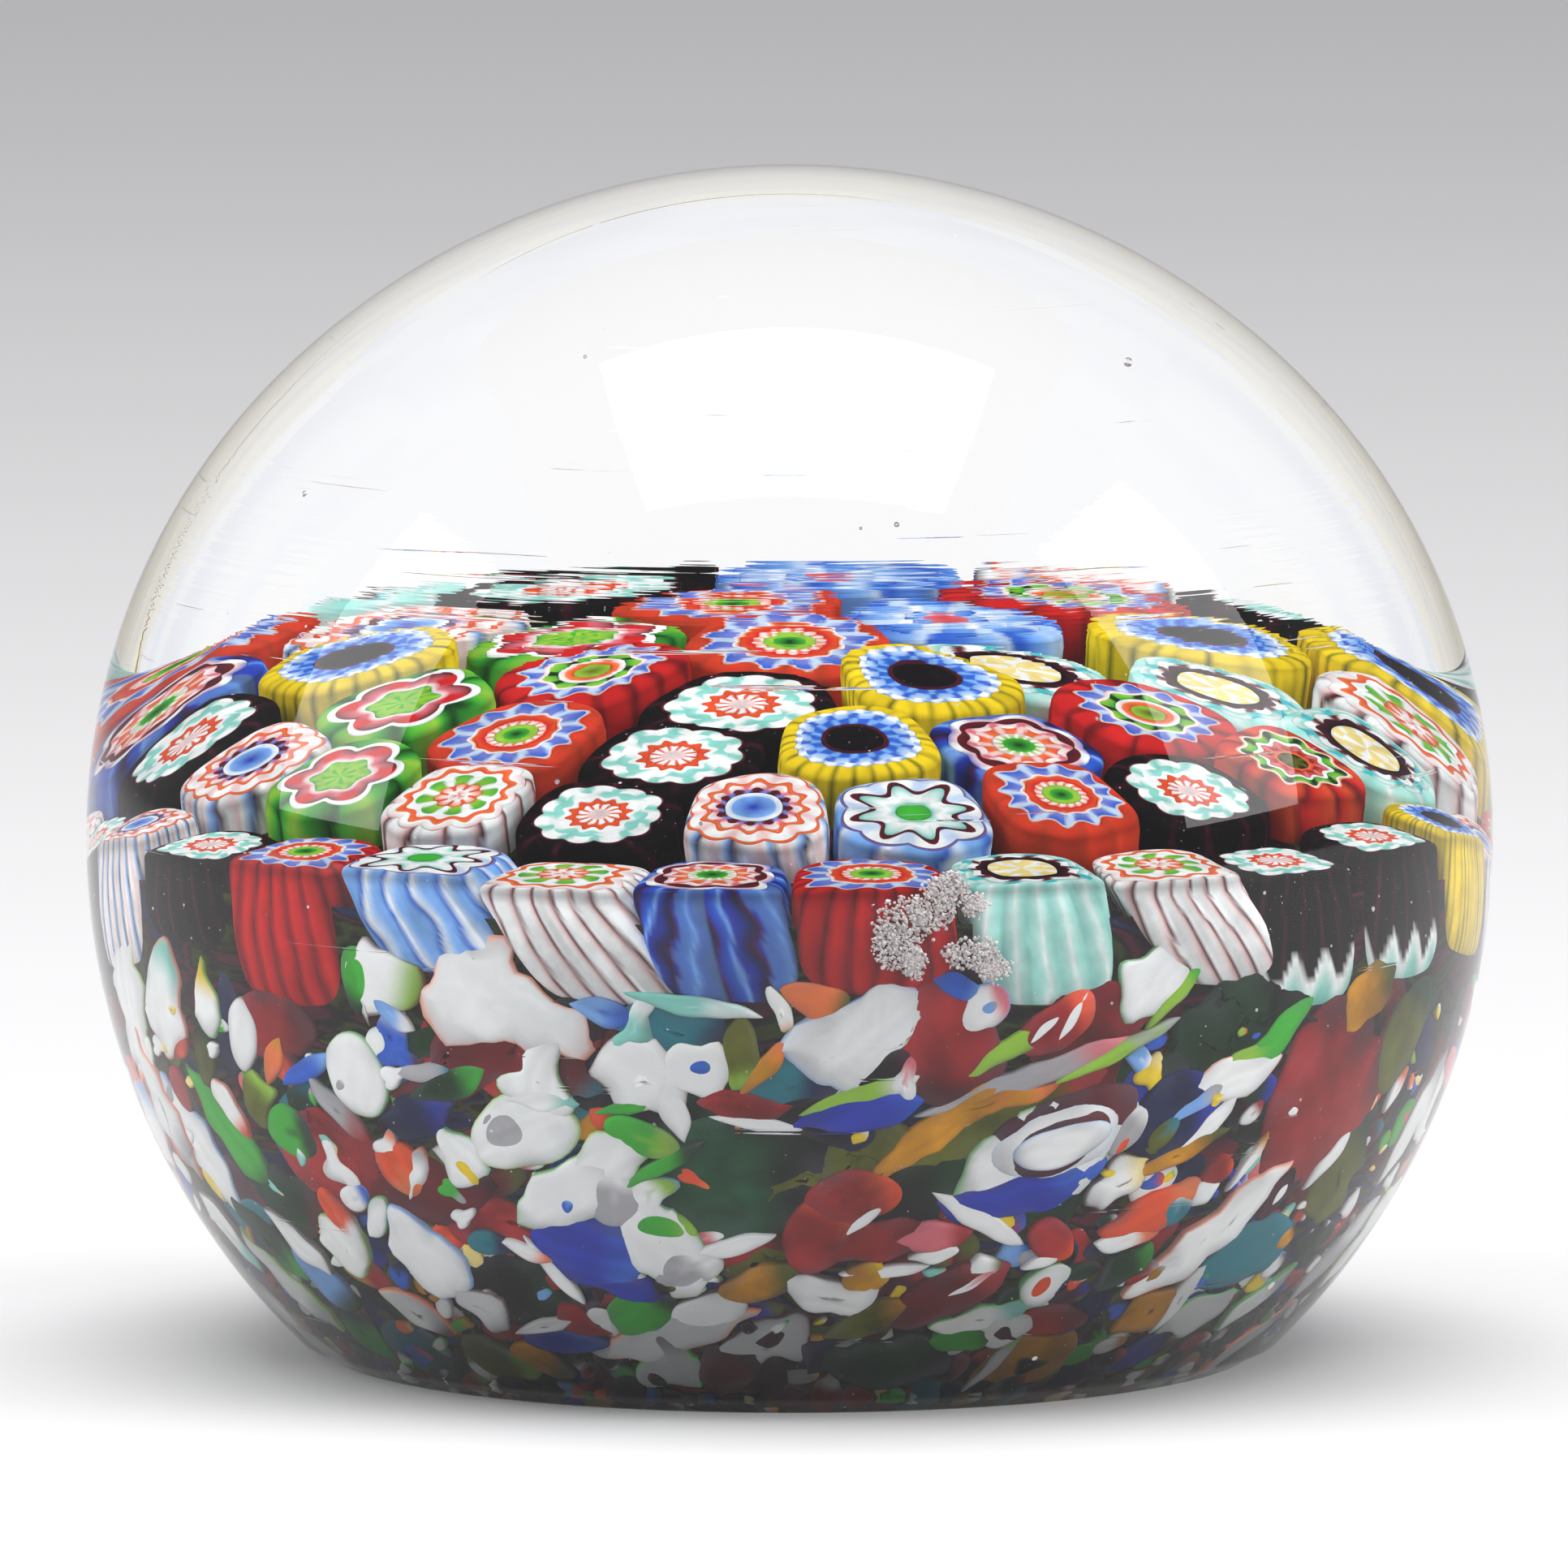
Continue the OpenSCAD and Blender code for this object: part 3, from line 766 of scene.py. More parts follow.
def build_casing(cane, angles, solids):
    """The casing of one cane: a ledge round the star, a rounded shoulder and a fluted side."""
    node, flutes, groove = CASINGS[cane["pattern"]][:3]
    star = PATTERNS[cane["pattern"]][-1]
    rows = []
    tints = []
    ledge = (0.0, 0.25, 0.5, 0.7, 0.85, 0.94, 0.985)
    for across in ledge:
        row = []
        tint = []
        for angle in angles:
            inner = outline_radius(cane, star, angle) + 0.02
            edge = cane["cell"][angle]
            radius = min(inner, edge * 0.96) + max(edge - inner, edge * 0.04) * across
            depth = top_depth(cane, radius, angle)
            row.append(cane_point(cane, angle, radius, depth))
            # The ledge on top is darkened the same way as the star: painted shade
            tint.append(tuple(c * TOP_PAINTED_SHADE for c in stripe_colour(cane, angle, depth)))
        rows.append(row)
        tints.append(tint)
    sides = 14 if cane["outer"] else 5
    for step in range(sides + 1):
        share = step / sides
        row = []
        tint = []
        for angle in angles:
            first = top_depth(cane, cane["cell"][angle], angle)
            depth = first + (cane["reach"] - first) * share
            tuck = 1 - 0.16 * share ** 5 if cane["outer"] else 1 - 0.10 * share
            flute = groove * math.cos(flutes * (1 + cane["outer"]) * angle + cane["spin"] / 3)
            swell = 1 + flute * (1 - share ** 2) / 11
            spread = cane["wide"][angle] - cane["cell"][angle]
            radius = cane["cell"][angle] + spread * min(SPREAD_PACE * share, 1)
            row.append(cane_point(cane, angle, radius, depth, tuck * swell))
            tint.append(stripe_colour(cane, angle, depth))
        rows.append(row)
        tints.append(tint)
    rows.append(taper_row(cane, star, angles, BORE_TAPER, cane["reach"] + 0.3))
    tints.append(tints[-1])
    rows.append(taper_row(cane, star, angles, BORE_TAPER, BORE_FOOT))
    tints.append(tints[0])
    solids[node].rows(rows, tints)


def build_canes():
    canes = read_canes()
    find_neighbours(canes)
    nodes = [band[0] for bands in PATTERNS.values() for band in bands]
    nodes += [casing[0] for casing in CASINGS.values()]
    solids = {node: Solid() for node in dict.fromkeys(nodes)}
    for cane in canes:
        columns = 144 if cane["outer"] else 96
        angles = [math.tau * k / columns for k in range(columns)]
        cane["wide"] = {a: cell_radius(cane, a) for a in angles}
        cane["cell"] = {a: held_radius(cane, a, cane["wide"][a], 1.0) for a in angles}
        cane["middling"] = sum(cane["cell"].values()) / columns
        star = PATTERNS[cane["pattern"]][-1]
        cane["scale"] = FILL[cane["pattern"]] * cane["middling"] / (star[2] + star[3])
        build_layers(cane, angles, solids)
        build_casing(cane, angles, solids)
    dark = tinted_glass("dark_cased_glass", specks=0.05)
    plain = tinted_glass("cane_glass")
    for node, solid in solids.items():
        material = dark if node in ("aubergine_casings", "black_cores") else plain
        solid.piece("cane_" + node, material, [node], node + "_glass")


# ---------------------------------------------------------------- chips
CHIP_COLOURS = {
    "white_chips": WHITE, "grey_chips": GREY, "dark_red_chips": MAROON, "vermilion_chips": VERMILION,
    "dark_green_chips": BOTTLE, "bright_green_chips": GREEN, "cobalt_chips": COBALT, "navy_chips": NAVY,
    "amber_chips": AMBER, "yellow_chips": YELLOW, "teal_chips": TEAL, "pink_chips": ROSE,
    "cane_scrap_chips": LAVENDER
}
# Short names of the colours used by the list of chips below: (CAD node, colour)
GLASS = {
    "w": ("white_chips", WHITE), "k": ("grey_chips", GREY), "r": ("dark_red_chips", MAROON),
    "R": ("dark_red_chips", (0.36, 0.02, 0.022)), "v": ("vermilion_chips", VERMILION),
    "o": ("vermilion_chips", ORANGE), "g": ("dark_green_chips", BOTTLE), "d": ("bright_green_chips", GREEN),
    "l": ("bright_green_chips", LIME), "b": ("cobalt_chips", COBALT), "B": ("cobalt_chips", BLUE),
    "s": ("cobalt_chips", SKY), "n": ("navy_chips", NAVY), "a": ("amber_chips", AMBER),
    "A": ("amber_chips", OLIVE), "y": ("yellow_chips", YELLOW), "t": ("teal_chips", TEAL),
    "q": ("teal_chips", AQUA), "p": ("pink_chips", ROSE), "u": ("cane_scrap_chips", AUBERGINE),
    "x": ("navy_chips", BLACK), "c": ("white_chips", CREAM), "G": ("dark_green_chips", FOREST)
}
# Large chips of the front, from the deepest to the topmost:
# (turn, drop, length, width, lean in degrees, shape, colour, colour of its far end)
FRONT_CHIPS = [
    (-52, 10, 7.0, 3.5, 5, "oval", "R", "r"), (-47, 23, 11, 6, -20, "shard", "R", "r"),
    (-28, 27, 11, 4, -8, "shard", "R", "R"), (-27, 10.5, 14, 4.2, 22, "leaf", "r", "R"),
    (-34, 24, 8, 5, 10, "shard", "r", "u"), (-20, 8, 6, 3, 10, "shard", "x", "u"),
    (-6, 21, 12.5, 8.4, 12, "oval", "G", "x"), (-12, 15, 9, 3, 4, "leaf", "x", "g"),
    (43, 10, 13, 6.5, 28, "shard", "g", "x"), (57, 17, 11.5, 9.5, 55, "oval", "R", "r"),
    (27, 8, 9, 5, 25, "shard", "r", "R"), (22, 15, 9, 4, 20, "leaf", "A", "R"),
    (8, 20, 13, 5, 15, "shard", "A", "A"), (10, 24, 8, 5, 30, "oval", "x", "g"),
    (64, 25, 8, 5, 60, "shard", "A", "g"), (-31, 34, 8, 5.5, 0, "shard", "x", "g"),
    (60, 8, 6, 3, 40, "leaf", "a", "A"), (68, 12, 7, 4, 60, "oval", "A", "g"),
    (-62, 21, 9.5, 3.2, -55, "leaf", "d", "g"), (-56, 27, 7, 4, -30, "shard", "g", "r"),
    (-10, 8, 7.5, 3.4, -5, "shard", "t", "n"), (0, 13, 6, 3.4, 10, "oval", "t", "n"),
    (3, 16, 6, 3, -20, "oval", "x", "n"), (-78, 10, 9, 5, 80, "leaf", "w", "w"),
    (-69, 9, 8, 4.6, 78, "shard", "w", "q"), (-61, 9, 4.4, 3, 75, "shard", "w", "y"),
    (-56, 11, 4.2, 2.4, 70, "oval", "w", "w"), (-63, 13.5, 3.4, 1.8, 80, "oval", "A", "g"),
    (-70, 22, 9, 3.4, -62, "leaf", "w", "w"), (-71, 26, 2.2, 1.4, -50, "oval", "y", "c"),
    (-61, 18, 4.6, 2.4, -60, "shard", "w", "v"), (-70, 17, 2.8, 1.7, -70, "oval", "R", "R"),
    (-52, 13, 3.4, 1.6, 60, "leaf", "o", "a"), (-48, 13.5, 4.4, 1.2, 25, "leaf", "B", "s"),
    (-56, 17, 4, 3, 50, "shard", "A", "l"), (-52, 19.5, 3.7, 2.9, -10, "oval", "d", "g"),
    (-47, 22.5, 3.4, 2.8, -40, "tri", "w", "w"), (-42, 13.5, 4.9, 3.7, 80, "oval", "w", "w"),
    (-45, 17, 5.2, 1.6, -45, "leaf", "k", "R"), (-36, 17, 5, 3.2, 10, "shard", "n", "b"),
    (-40, 20, 2.2, 1.6, 60, "tri", "w", "o"), (-39, 22, 3.6, 2.6, -60, "oval", "v", "o"),
    (-37, 22.5, 3.6, 2.4, 60, "shard", "w", "k"), (-32, 21, 4.4, 3.1, -50, "shard", "w", "w"),
    (-31.5, 21.6, 1.9, 1.1, -50, "oval", "y", "y"), (-32, 14, 5.4, 1.6, 20, "leaf", "g", "d"),
    (-34, 12.8, 3.6, 1.1, 8, "leaf", "k", "t"), (-25, 17.8, 6.7, 4.1, 24, "oval", "w", "w"),
    (-26.6, 17.8, 3.6, 2.7, 15, "oval", "k", "k"), (-23, 12.8, 4.6, 3.8, 70, "tri", "w", "w"),
    (-23, 14.8, 4.6, 1.2, 0, "leaf", "w", "q"), (-38, 4.6, 6.4, 4.8, -18, "shard", "w", "l"),
    (-40.5, 4.8, 3.8, 2.0, -82, "oval", "d", "g"), (-37, 7.6, 3.2, 1.2, -30, "leaf", "s", "w"),
    (-26.5, 6, 10.5, 6.6, -22, "tri", "w", "w"), (-16.5, 6.4, 3.6, 1.5, -15, "leaf", "s", "B"),
    (-13.5, 8, 3.6, 2.6, 75, "tri", "q", "w"), (-13, 12.6, 6.6, 4.8, -28, "shard", "w", "w"),
    (-15, 15.2, 3.2, 0.9, 14, "leaf", "d", "d"), (-7.6, 11.4, 4.2, 3.5, 15, "shard", "w", "w"),
    (-7.8, 11.2, 1.6, 1.2, 10, "oval", "B", "t"), (-10.5, 15, 4, 1.5, -75, "leaf", "w", "w"),
    (-4, 10, 4.6, 1.9, -85, "shard", "A", "l"), (-8.5, 5.8, 7.5, 1.0, -9, "leaf", "q", "w"),
    (-2.5, 11.4, 4, 1.1, 48, "leaf", "a", "o"), (-0.8, 6.4, 3.0, 1.7, -75, "shard", "w", "o"),
    (-4, 14.8, 5.5, 1.6, -3, "leaf", "R", "R"), (-3, 16.4, 5, 0.8, -10, "leaf", "w", "w"),
    (14, 9.4, 7.4, 5.2, -70, "oval", "R", "r"), (2.5, 5.2, 4, 2.4, -15, "shard", "o", "A"),
    (6, 8.6, 10, 5.4, 36, "shard", "w", "w"), (8.6, 11.4, 3.6, 1.8, 28, "leaf", "x", "u"),
    (6.6, 13.6, 7.4, 1.3, 20, "leaf", "l", "w"), (10, 12.7, 3.2, 2.2, 60, "tri", "w", "p"),
    (6.4, 15.4, 7.4, 2.2, 10, "leaf", "b", "B"), (14.5, 4.2, 3.4, 1.6, -20, "leaf", "B", "s"),
    (17, 6.2, 3.0, 2.4, 30, "oval", "w", "p"), (17.5, 6.1, 1.3, 0.9, 20, "oval", "s", "k"),
    (20, 9.8, 6.4, 1.5, 26, "leaf", "l", "A"), (22, 12.4, 13, 1.4, 18, "leaf", "k", "p"),
    (24, 8, 4.6, 2.6, 35, "oval", "R", "v"), (25, 7.6, 3.6, 0.8, 60, "leaf", "w", "w"),
    (22.6, 8.2, 3.0, 0.7, 42, "leaf", "w", "w"), (13, 17.6, 10.6, 1.9, 38, "leaf", "a", "a"),
    (18, 14.8, 8.6, 1.3, 16, "leaf", "a", "o"), (33, 4.8, 5.2, 3.8, 42, "shard", "w", "w"),
    (35.4, 6, 4.6, 0.9, 45, "leaf", "l", "d"), (30, 10.6, 8, 1.0, 24, "leaf", "l", "k"),
    (47, 11, 7.0, 1.7, 40, "leaf", "d", "d"),
    (44, 12.6, 6.0, 1.5, 20, "leaf", "l", "d"), (42, 14, 8.4, 2.3, 14, "leaf", "w", "w"),
    (37.5, 17, 6.2, 4.6, 20, "oval", "n", "b"), (39, 16, 4.6, 1.3, 30, "leaf", "s", "k"),
    (36, 18.4, 3.0, 2.0, 50, "oval", "A", "t"), (41, 18, 4.6, 1.2, 40, "leaf", "w", "w"),
    (41.5, 15.6, 1.5, 1.1, 10, "tri", "y", "w"), (38, 20.6, 7, 1.2, 22, "leaf", "a", "A"),
    (23.6, 20, 10.6, 5.8, 28, "leaf", "w", "w"), (25, 18.4, 9.0, 4.7, 20, "oval", "u", "r"),
    (22.4, 23.4, 9.6, 2.9, 12, "leaf", "b", "B"),
    (18.4, 26, 6.6, 1.3, -32, "leaf", "w", "w"), (27, 17, 2.4, 0.6, 5, "leaf", "o", "o"),
    (32.4, 18, 3.3, 1.4, 58, "oval", "k", "w"), (31.8, 19.2, 1.5, 0.7, 55, "leaf", "v", "v"),
    (32, 22.8, 5.0, 3.4, 25, "shard", "w", "c"), (31, 21.9, 1.0, 0.5, 10, "oval", "y", "y"),
    (69, 17, 2.8, 0.9, 62, "leaf", "w", "o"), (37.5, 26.4, 6.6, 2.7, 28, "leaf", "v", "o"),
    (35, 28.6, 3.6, 1.5, 10, "leaf", "w", "o"), (40, 26, 2.3, 2.1, 80, "oval", "t", "w"),
    (43, 24.6, 2.8, 1.8, 55, "shard", "w", "w"), (43.8, 22.6, 2.2, 1.6, 20, "oval", "R", "v"),
    (47.5, 22, 3.8, 0.7, 60, "leaf", "w", "a"), (53.5, 31.5, 6.8, 4.6, 25, "oval", "t", "t"),
    (46.6, 29, 11.5, 2.9, 44, "leaf", "w", "w"), (53.6, 25.6, 3.2, 1.5, 62, "oval", "u", "x"),
    (53.8, 25.5, 2.3, 0.8, 62, "leaf", "w", "w"), (60, 23, 4, 1.1, 50, "leaf", "w", "w"),
    (25, 18.6, 8.0, 3.8, 20, "oval", "w", "w"),
    (42.4, 37, 5.2, 3.4, 45, "shard", "a", "a"), (46, 36, 5, 1.3, 75, "leaf", "w", "w"),
    (50, 38.4, 5.6, 2.3, 32, "leaf", "w", "w"), (45, 42, 5, 2.0, 40, "leaf", "b", "n"),
    (28.4, 42, 6.6, 4.6, 10, "shard", "a", "a"), (24.6, 42, 5.6, 0.9, 66, "leaf", "w", "l"),
    (29.5, 37.5, 4.2, 2.2, 0, "oval", "R", "r"), (12, 41.4, 9, 4.6, 2, "shard", "G", "x"),
    (3, 41, 4.2, 3.4, 80, "shard", "n", "n"), (-2.8, 39.8, 4.8, 4.4, 10, "shard", "w", "w"),
    (-2.0, 38.8, 2.3, 1.9, 5, "shard", "u", "x"), (-7.5, 42.6, 5, 3.8, 60, "shard", "r", "u"),
    (-16, 36, 4.6, 3.1, 30, "oval", "d", "g"), (-12.5, 38.4, 9.4, 2.7, 22, "leaf", "w", "w"),
    (-14, 42, 5, 3.6, 80, "tri", "w", "k"), (-8.4, 35.6, 4.4, 2.4, 15, "oval", "w", "w"),
    (25.2, 19.0, 6.4, 3.2, 18, "oval", "u", "r"),
    (-20, 29.4, 6.2, 4.8, -20, "oval", "b", "B"), (-24.4, 31.6, 5, 1.0, -62, "leaf", "w", "w"),
    (-16.5, 33.4, 4.6, 2.4, -10, "leaf", "b", "n"), (-12.6, 28.6, 7.2, 4.6, -48, "shard", "w", "w"),
    (-12.4, 26.4, 4.0, 1.9, -8, "oval", "d", "l"), (-10.6, 30.8, 3.6, 2.9, 30, "oval", "k", "w"),
    (-5.4, 28.4, 4.6, 1.1, 14, "leaf", "w", "w"), (-17.5, 20.4, 6.6, 3.8, 32, "shard", "w", "w"),
    (-13.4, 17.8, 4.0, 2.0, -25, "oval", "d", "l"), (-21.5, 23.8, 7.4, 3.4, 34, "leaf", "w", "w"),
    (-16.6, 23.6, 3.4, 3.2, 80, "oval", "k", "w"), (-21.4, 24.6, 1.2, 0.9, 60, "oval", "B", "s"),
    (-13.2, 23, 2.8, 2.2, 30, "tri", "w", "l"), (-12, 20.6, 5.6, 1.0, 30, "leaf", "d", "g"),
    (2.8, 27.4, 5.0, 3.4, 70, "oval", "R", "v"), (5.8, 23.6, 5.2, 3.2, 20, "oval", "R", "v"),
    (8, 28, 7.0, 2.6, 18, "leaf", "R", "r"), (7, 25.6, 3.2, 0.7, 40, "leaf", "w", "w"),
    (13.6, 27.8, 4.6, 2.2, 8, "leaf", "p", "R"), (14.6, 29.4, 3.6, 1.2, 18, "shard", "w", "w"),
    (9.6, 31.2, 4.6, 0.8, 8, "leaf", "w", "w"), (-3, 32.4, 4.2, 2.3, 20, "oval", "a", "A"),
    (4.4, 33.8, 6.6, 2.9, -8, "shard", "w", "w"), (7.6, 31.8, 3.4, 2.2, 30, "shard", "a", "y"),
    (8.6, 36.4, 5.4, 2.0, 30, "leaf", "A", "a"), (16.6, 34, 7.4, 3.1, 32, "leaf", "r", "R"),
    (18.8, 32.6, 4.0, 0.8, 36, "leaf", "w", "p"), (21, 36.8, 5.4, 1.8, 16, "leaf", "w", "q"),
    (20, 39, 4.4, 1.8, 10, "leaf", "d", "g"), (24.4, 38.2, 3.4, 2.6, 20, "shard", "w", "w"),
    (24.2, 38.4, 2.2, 1.5, 15, "shard", "u", "x"), (26.5, 28.6, 3.2, 2.4, -40, "oval", "R", "v"),
    (25.8, 30.6, 2.2, 0.8, 20, "leaf", "w", "w"), (27, 33.2, 3.2, 2.3, 50, "oval", "w", "w"),
    (26.6, 33.2, 2.0, 1.3, 60, "oval", "v", "v"), (36, 32, 4.6, 2.8, 30, "shard", "g", "d"),
    (-39, 31, 6.8, 4.8, -72, "shard", "w", "w"), (-50, 30.5, 5.6, 3.9, -70, "shard", "w", "w"),
    (-44, 37.4, 4.8, 2.0, -34, "leaf", "w", "u"), (-43.6, 27, 3.0, 1.7, 50, "leaf", "w", "w"),
    (-49, 27.4, 3.2, 1.8, -60, "oval", "v", "w"), (-35, 36.4, 4.6, 3.1, -62, "shard", "w", "k"),
    (-31, 28.8, 2.4, 1.6, 0, "oval", "t", "n"), (-26, 39.6, 4.6, 1.9, 0, "oval", "b", "B"),
    (-23, 37.4, 3.2, 2.8, 20, "shard", "R", "R"), (-27.6, 37.8, 4.6, 0.9, 20, "leaf", "w", "w"),
    (-36, 42.6, 4.8, 2.8, -20, "oval", "A", "l"), (-30, 42.6, 3.6, 1.9, -30, "leaf", "a", "A"),
    (-33, 26.4, 1.8, 1.2, 30, "tri", "w", "w"), (-27, 29.6, 3.2, 1.0, -20, "leaf", "w", "o"),
    (-57, 35, 5, 2.4, -50, "leaf", "s", "g"), (-64, 31, 6, 2.4, -52, "leaf", "g", "d"),
    (-58, 30.6, 5.4, 2.0, -50, "leaf", "w", "w"), (-74, 31, 6, 2.2, -55, "leaf", "w", "q"),
    (25.4, 18.9, 5.4, 2.4, 18, "oval", "w", "w"), (-66, 36, 8, 2.6, -52, "leaf", "w", "k"),
    (-76, 19, 9, 3.2, -68, "leaf", "w", "k"), (-79, 37, 8, 2.8, -55, "leaf", "k", "w"),
    (-72, 44, 6, 2.0, -40, "leaf", "w", "k"), (77, 20, 9, 2.8, 64, "leaf", "w", "k"),
    (73, 33, 8, 2.4, 55, "leaf", "k", "w"), (81, 31, 8, 3.2, 60, "leaf", "w", "w"),
    (66, 42, 6, 1.8, 48, "leaf", "w", "k"), (60, 37, 6, 1.6, 45, "leaf", "w", "k")
]


def outline(shape, angle, rng):
    """Unit outline of a chip at an angle round it, as x along its length and y across."""
    c = math.cos(angle)
    s = math.sin(angle)
    if shape == "leaf":
        return c, s * abs(s) ** 0.7 * (1 + 0.15 * c)
    if shape == "tri":
        grow = 0.86 + 0.24 * math.cos(3 * angle)
        return c * grow, s * grow
    if shape == "oval":
        grow = 1 + 0.06 * math.sin(2 * angle + rng["a"]) + 0.05 * math.sin(3 * angle + rng["b"])
        return c * grow, s * grow
    corners = rng["corners"]
    total = sum(max(0.0, math.cos(angle - turn) / reach) ** 7 for turn, reach in corners)
    grow = total ** (-1 / 7)
    return c * grow, s * grow


def chip_character(rng):
    """The random part of a chip's outline, drawn once for each chip."""
    turns = [math.tau * (k + rng.uniform(-0.25, 0.25)) / 5 for k in range(5)]
    return {
        "a": rng.uniform(0, math.tau),
        "b": rng.uniform(0, math.tau),
        "corners": [(turn, rng.uniform(0.66, 0.92)) for turn in turns],
        "bend": rng.uniform(-0.22, 0.22),
        "streak": rng.uniform(0.1, 0.5),
        "rough": rng.uniform(0.15, 0.34),
        "seed": rng.uniform(0, 100)
    }


RIMS = [ORANGE, GREEN, AUBERGINE, MAROON, SKY, LIME]


def build_chip(solid, centre, up, long, wide, lean, shape, colours, rim, sink, rng):
    """A flattened shard pressed against the skin of the coloured glass. centre is a unit vector from the
    middle of the set, up is the direction that counts as upwards on the skin."""
    traits = chip_character(rng)
    across = up.cross(centre).normalized()
    upward = centre.cross(across)
    c = math.cos(math.radians(lean))
    s = math.sin(math.radians(lean))
    count = 36 if long > 3 else 26
    radius = SET_R - sink
    thick = min(1.9, 0.5 + 0.35 * wide)
    rows = []
    tints = []
    levels = [(0.30, 0.0), (0.60, 0.0), (0.82, 0.02), (0.93, 0.06), (0.985, 0.16), (1.0, 0.34),
              (0.985, 0.6 * thick), (0.9, 0.9 * thick), (0.5, thick)]
    if long > 4:
        levels = [(0.15, 0.0), (0.45, 0.0), (0.71, 0.0)] + levels
        levels.sort(key=lambda level: (level[1], level[0]))
    shade = 1 - FOOT_SHADE * smooth(30, 42, -math.degrees(math.asin(centre.z)))
    rough = traits["rough"] * (0.3 if shape == "oval" else 1.0)
    for grow, depth in levels:
        row = []
        tint = []
        for k in range(count):
            angle = math.tau * k / count
            ox, oy = outline(shape, angle, traits)
            x = ox * grow * long / 2
            y = oy * grow * wide / 2 + traits["bend"] * wide * (ox * grow) ** 2 * 0.5
            wave = noise.noise(Vector((x * 0.5, y * 0.5, traits["seed"])))
            x += rough * wide * wave
            y += rough * wide * noise.noise(Vector((y * 0.6, x * 0.6, traits["seed"] + 9)))
            tangent = across * (x * c - y * s) + upward * (x * s + y * c)
            point = (centre * radius + tangent).normalized() * (radius - depth) + SET_CENTRE
            point.z = max(point.z, FLOOR_GAP)
            row.append(point)
            share = smooth(0.1, 0.75, ox * grow + 0.5 * wave)
            colour = mix(colours[0], colours[1], share)
            streak = noise.noise(Vector((x * 0.25, y * 2.2 + wave, traits["seed"] + 31)))
            streak = 1 + traits["streak"] * (1 - 0.8 * colours[0][1]) * streak
            colour = tuple(c * streak * shade for c in colour)
            # Chips turn darker towards their edges, varied by noise: painted shade
            edge_shade = smooth(0.4, 1.0, grow) * max(0.18 + 0.5 * wave, 0)
            colour = mix(colour, EDGE_PAINTED_SHADE, edge_shade)
            if rim:
                colour = mix(colour, rim, 0.75 * smooth(0.90, 1.0, grow))
            tint.append(colour)
        rows.append(row)
        tints.append(tint)
    top = SET_CENTRE + centre * radius
    base = SET_CENTRE + centre * (radius - thick)
    top.z = max(top.z, FLOOR_GAP)
    base.z = max(base.z, FLOOR_GAP + 0.3)
    solid.rows(rows, tints, ((top, tints[0][0]), (base, tints[-1][0])))


def on_skin(turn, drop):
    """Unit vector from the middle of the set at a turn from the front and a drop below the level."""
    a = math.radians(turn)
    d = math.radians(drop)
    return Vector((math.sin(a) * math.cos(d), -math.cos(a) * math.cos(d), -math.sin(d)))


UP = Vector((0, 0, 1))


def build_front_chips(solids):
    for i, (turn, drop, long, wide, lean, shape, first, second) in enumerate(FRONT_CHIPS):
        rng = random.Random(3000 + i)
        sink = 0.6 - 0.55 * i / len(FRONT_CHIPS)
        node, colour = GLASS[first]
        rim = RIMS[i % len(RIMS)] if first == "w" and wide > 1.5 else None
        build_chip(solids[node], on_skin(turn, drop), UP, long, wide, lean, shape,
                   (colour, GLASS[second][1]), rim, sink, rng)


def build_cad_chips(solids):
    """A shard at each CAD chip outside the front zone, and one at each chip of the base."""
    for node, colour in CHIP_COLOURS.items():
        for i, middle in enumerate(solids_of(node)):
            rng = random.Random(node + str(i))
            direction = (middle - SET_CENTRE).normalized()
            turn = turn_of(middle)
            flat = middle.z < 3 and math.hypot(middle.x, middle.y) < 19
            shape = rng.choice(["shard", "shard", "oval", "tri", "leaf"])
            long = rng.uniform(4.8, 7.5)
            wide = rng.uniform(3.0, 4.8)
            second = rng.choice([colour, colour, WHITE, GREEN, SKY, MAROON])
            rim = rng.choice(RIMS) if colour == WHITE else None
            if flat:
                build_base_chip(solids[node], middle, long * 0.8, wide, (colour, second), rng)
            elif abs(turn) > FRONT_ZONE:
                build_chip(solids[node], direction, UP, long, wide, rng.uniform(-10, 70), shape,
                           (colour, second), rim, rng.uniform(0.1, 0.6), rng)


def build_base_chip(solid, middle, long, wide, colours, rng):
    """A chip cut flat by the ground base."""
    traits = chip_character(rng)
    turned = rng.uniform(0, math.tau)
    count = 26
    rows = []
    tints = []
    for grow, height in ((0.4, 0.0), (0.8, 0.0), (0.97, 0.05), (1.0, 0.2), (0.95, 1.2), (0.6, 2.0)):
        row = []
        tint = []
        for k in range(count):
            angle = math.tau * k / count
            ox, oy = outline("shard", angle, traits)
            x = ox * grow * long / 2
            y = oy * grow * wide / 2
            east = x * math.cos(turned) - y * math.sin(turned)
            north = x * math.sin(turned) + y * math.cos(turned)
            row.append(Vector((middle.x + east, middle.y + north, FLOOR_GAP + height)))
            tint.append(mix(colours[0], colours[1], smooth(0.1, 0.7, ox * grow)))
        rows.append(row)
        tints.append(tint)
    low = Vector((middle.x, middle.y, FLOOR_GAP))
    high = Vector((middle.x, middle.y, FLOOR_GAP + 2.2))
    solid.rows(rows, tints, ((low, tints[0][0]), (high, tints[-1][0])))


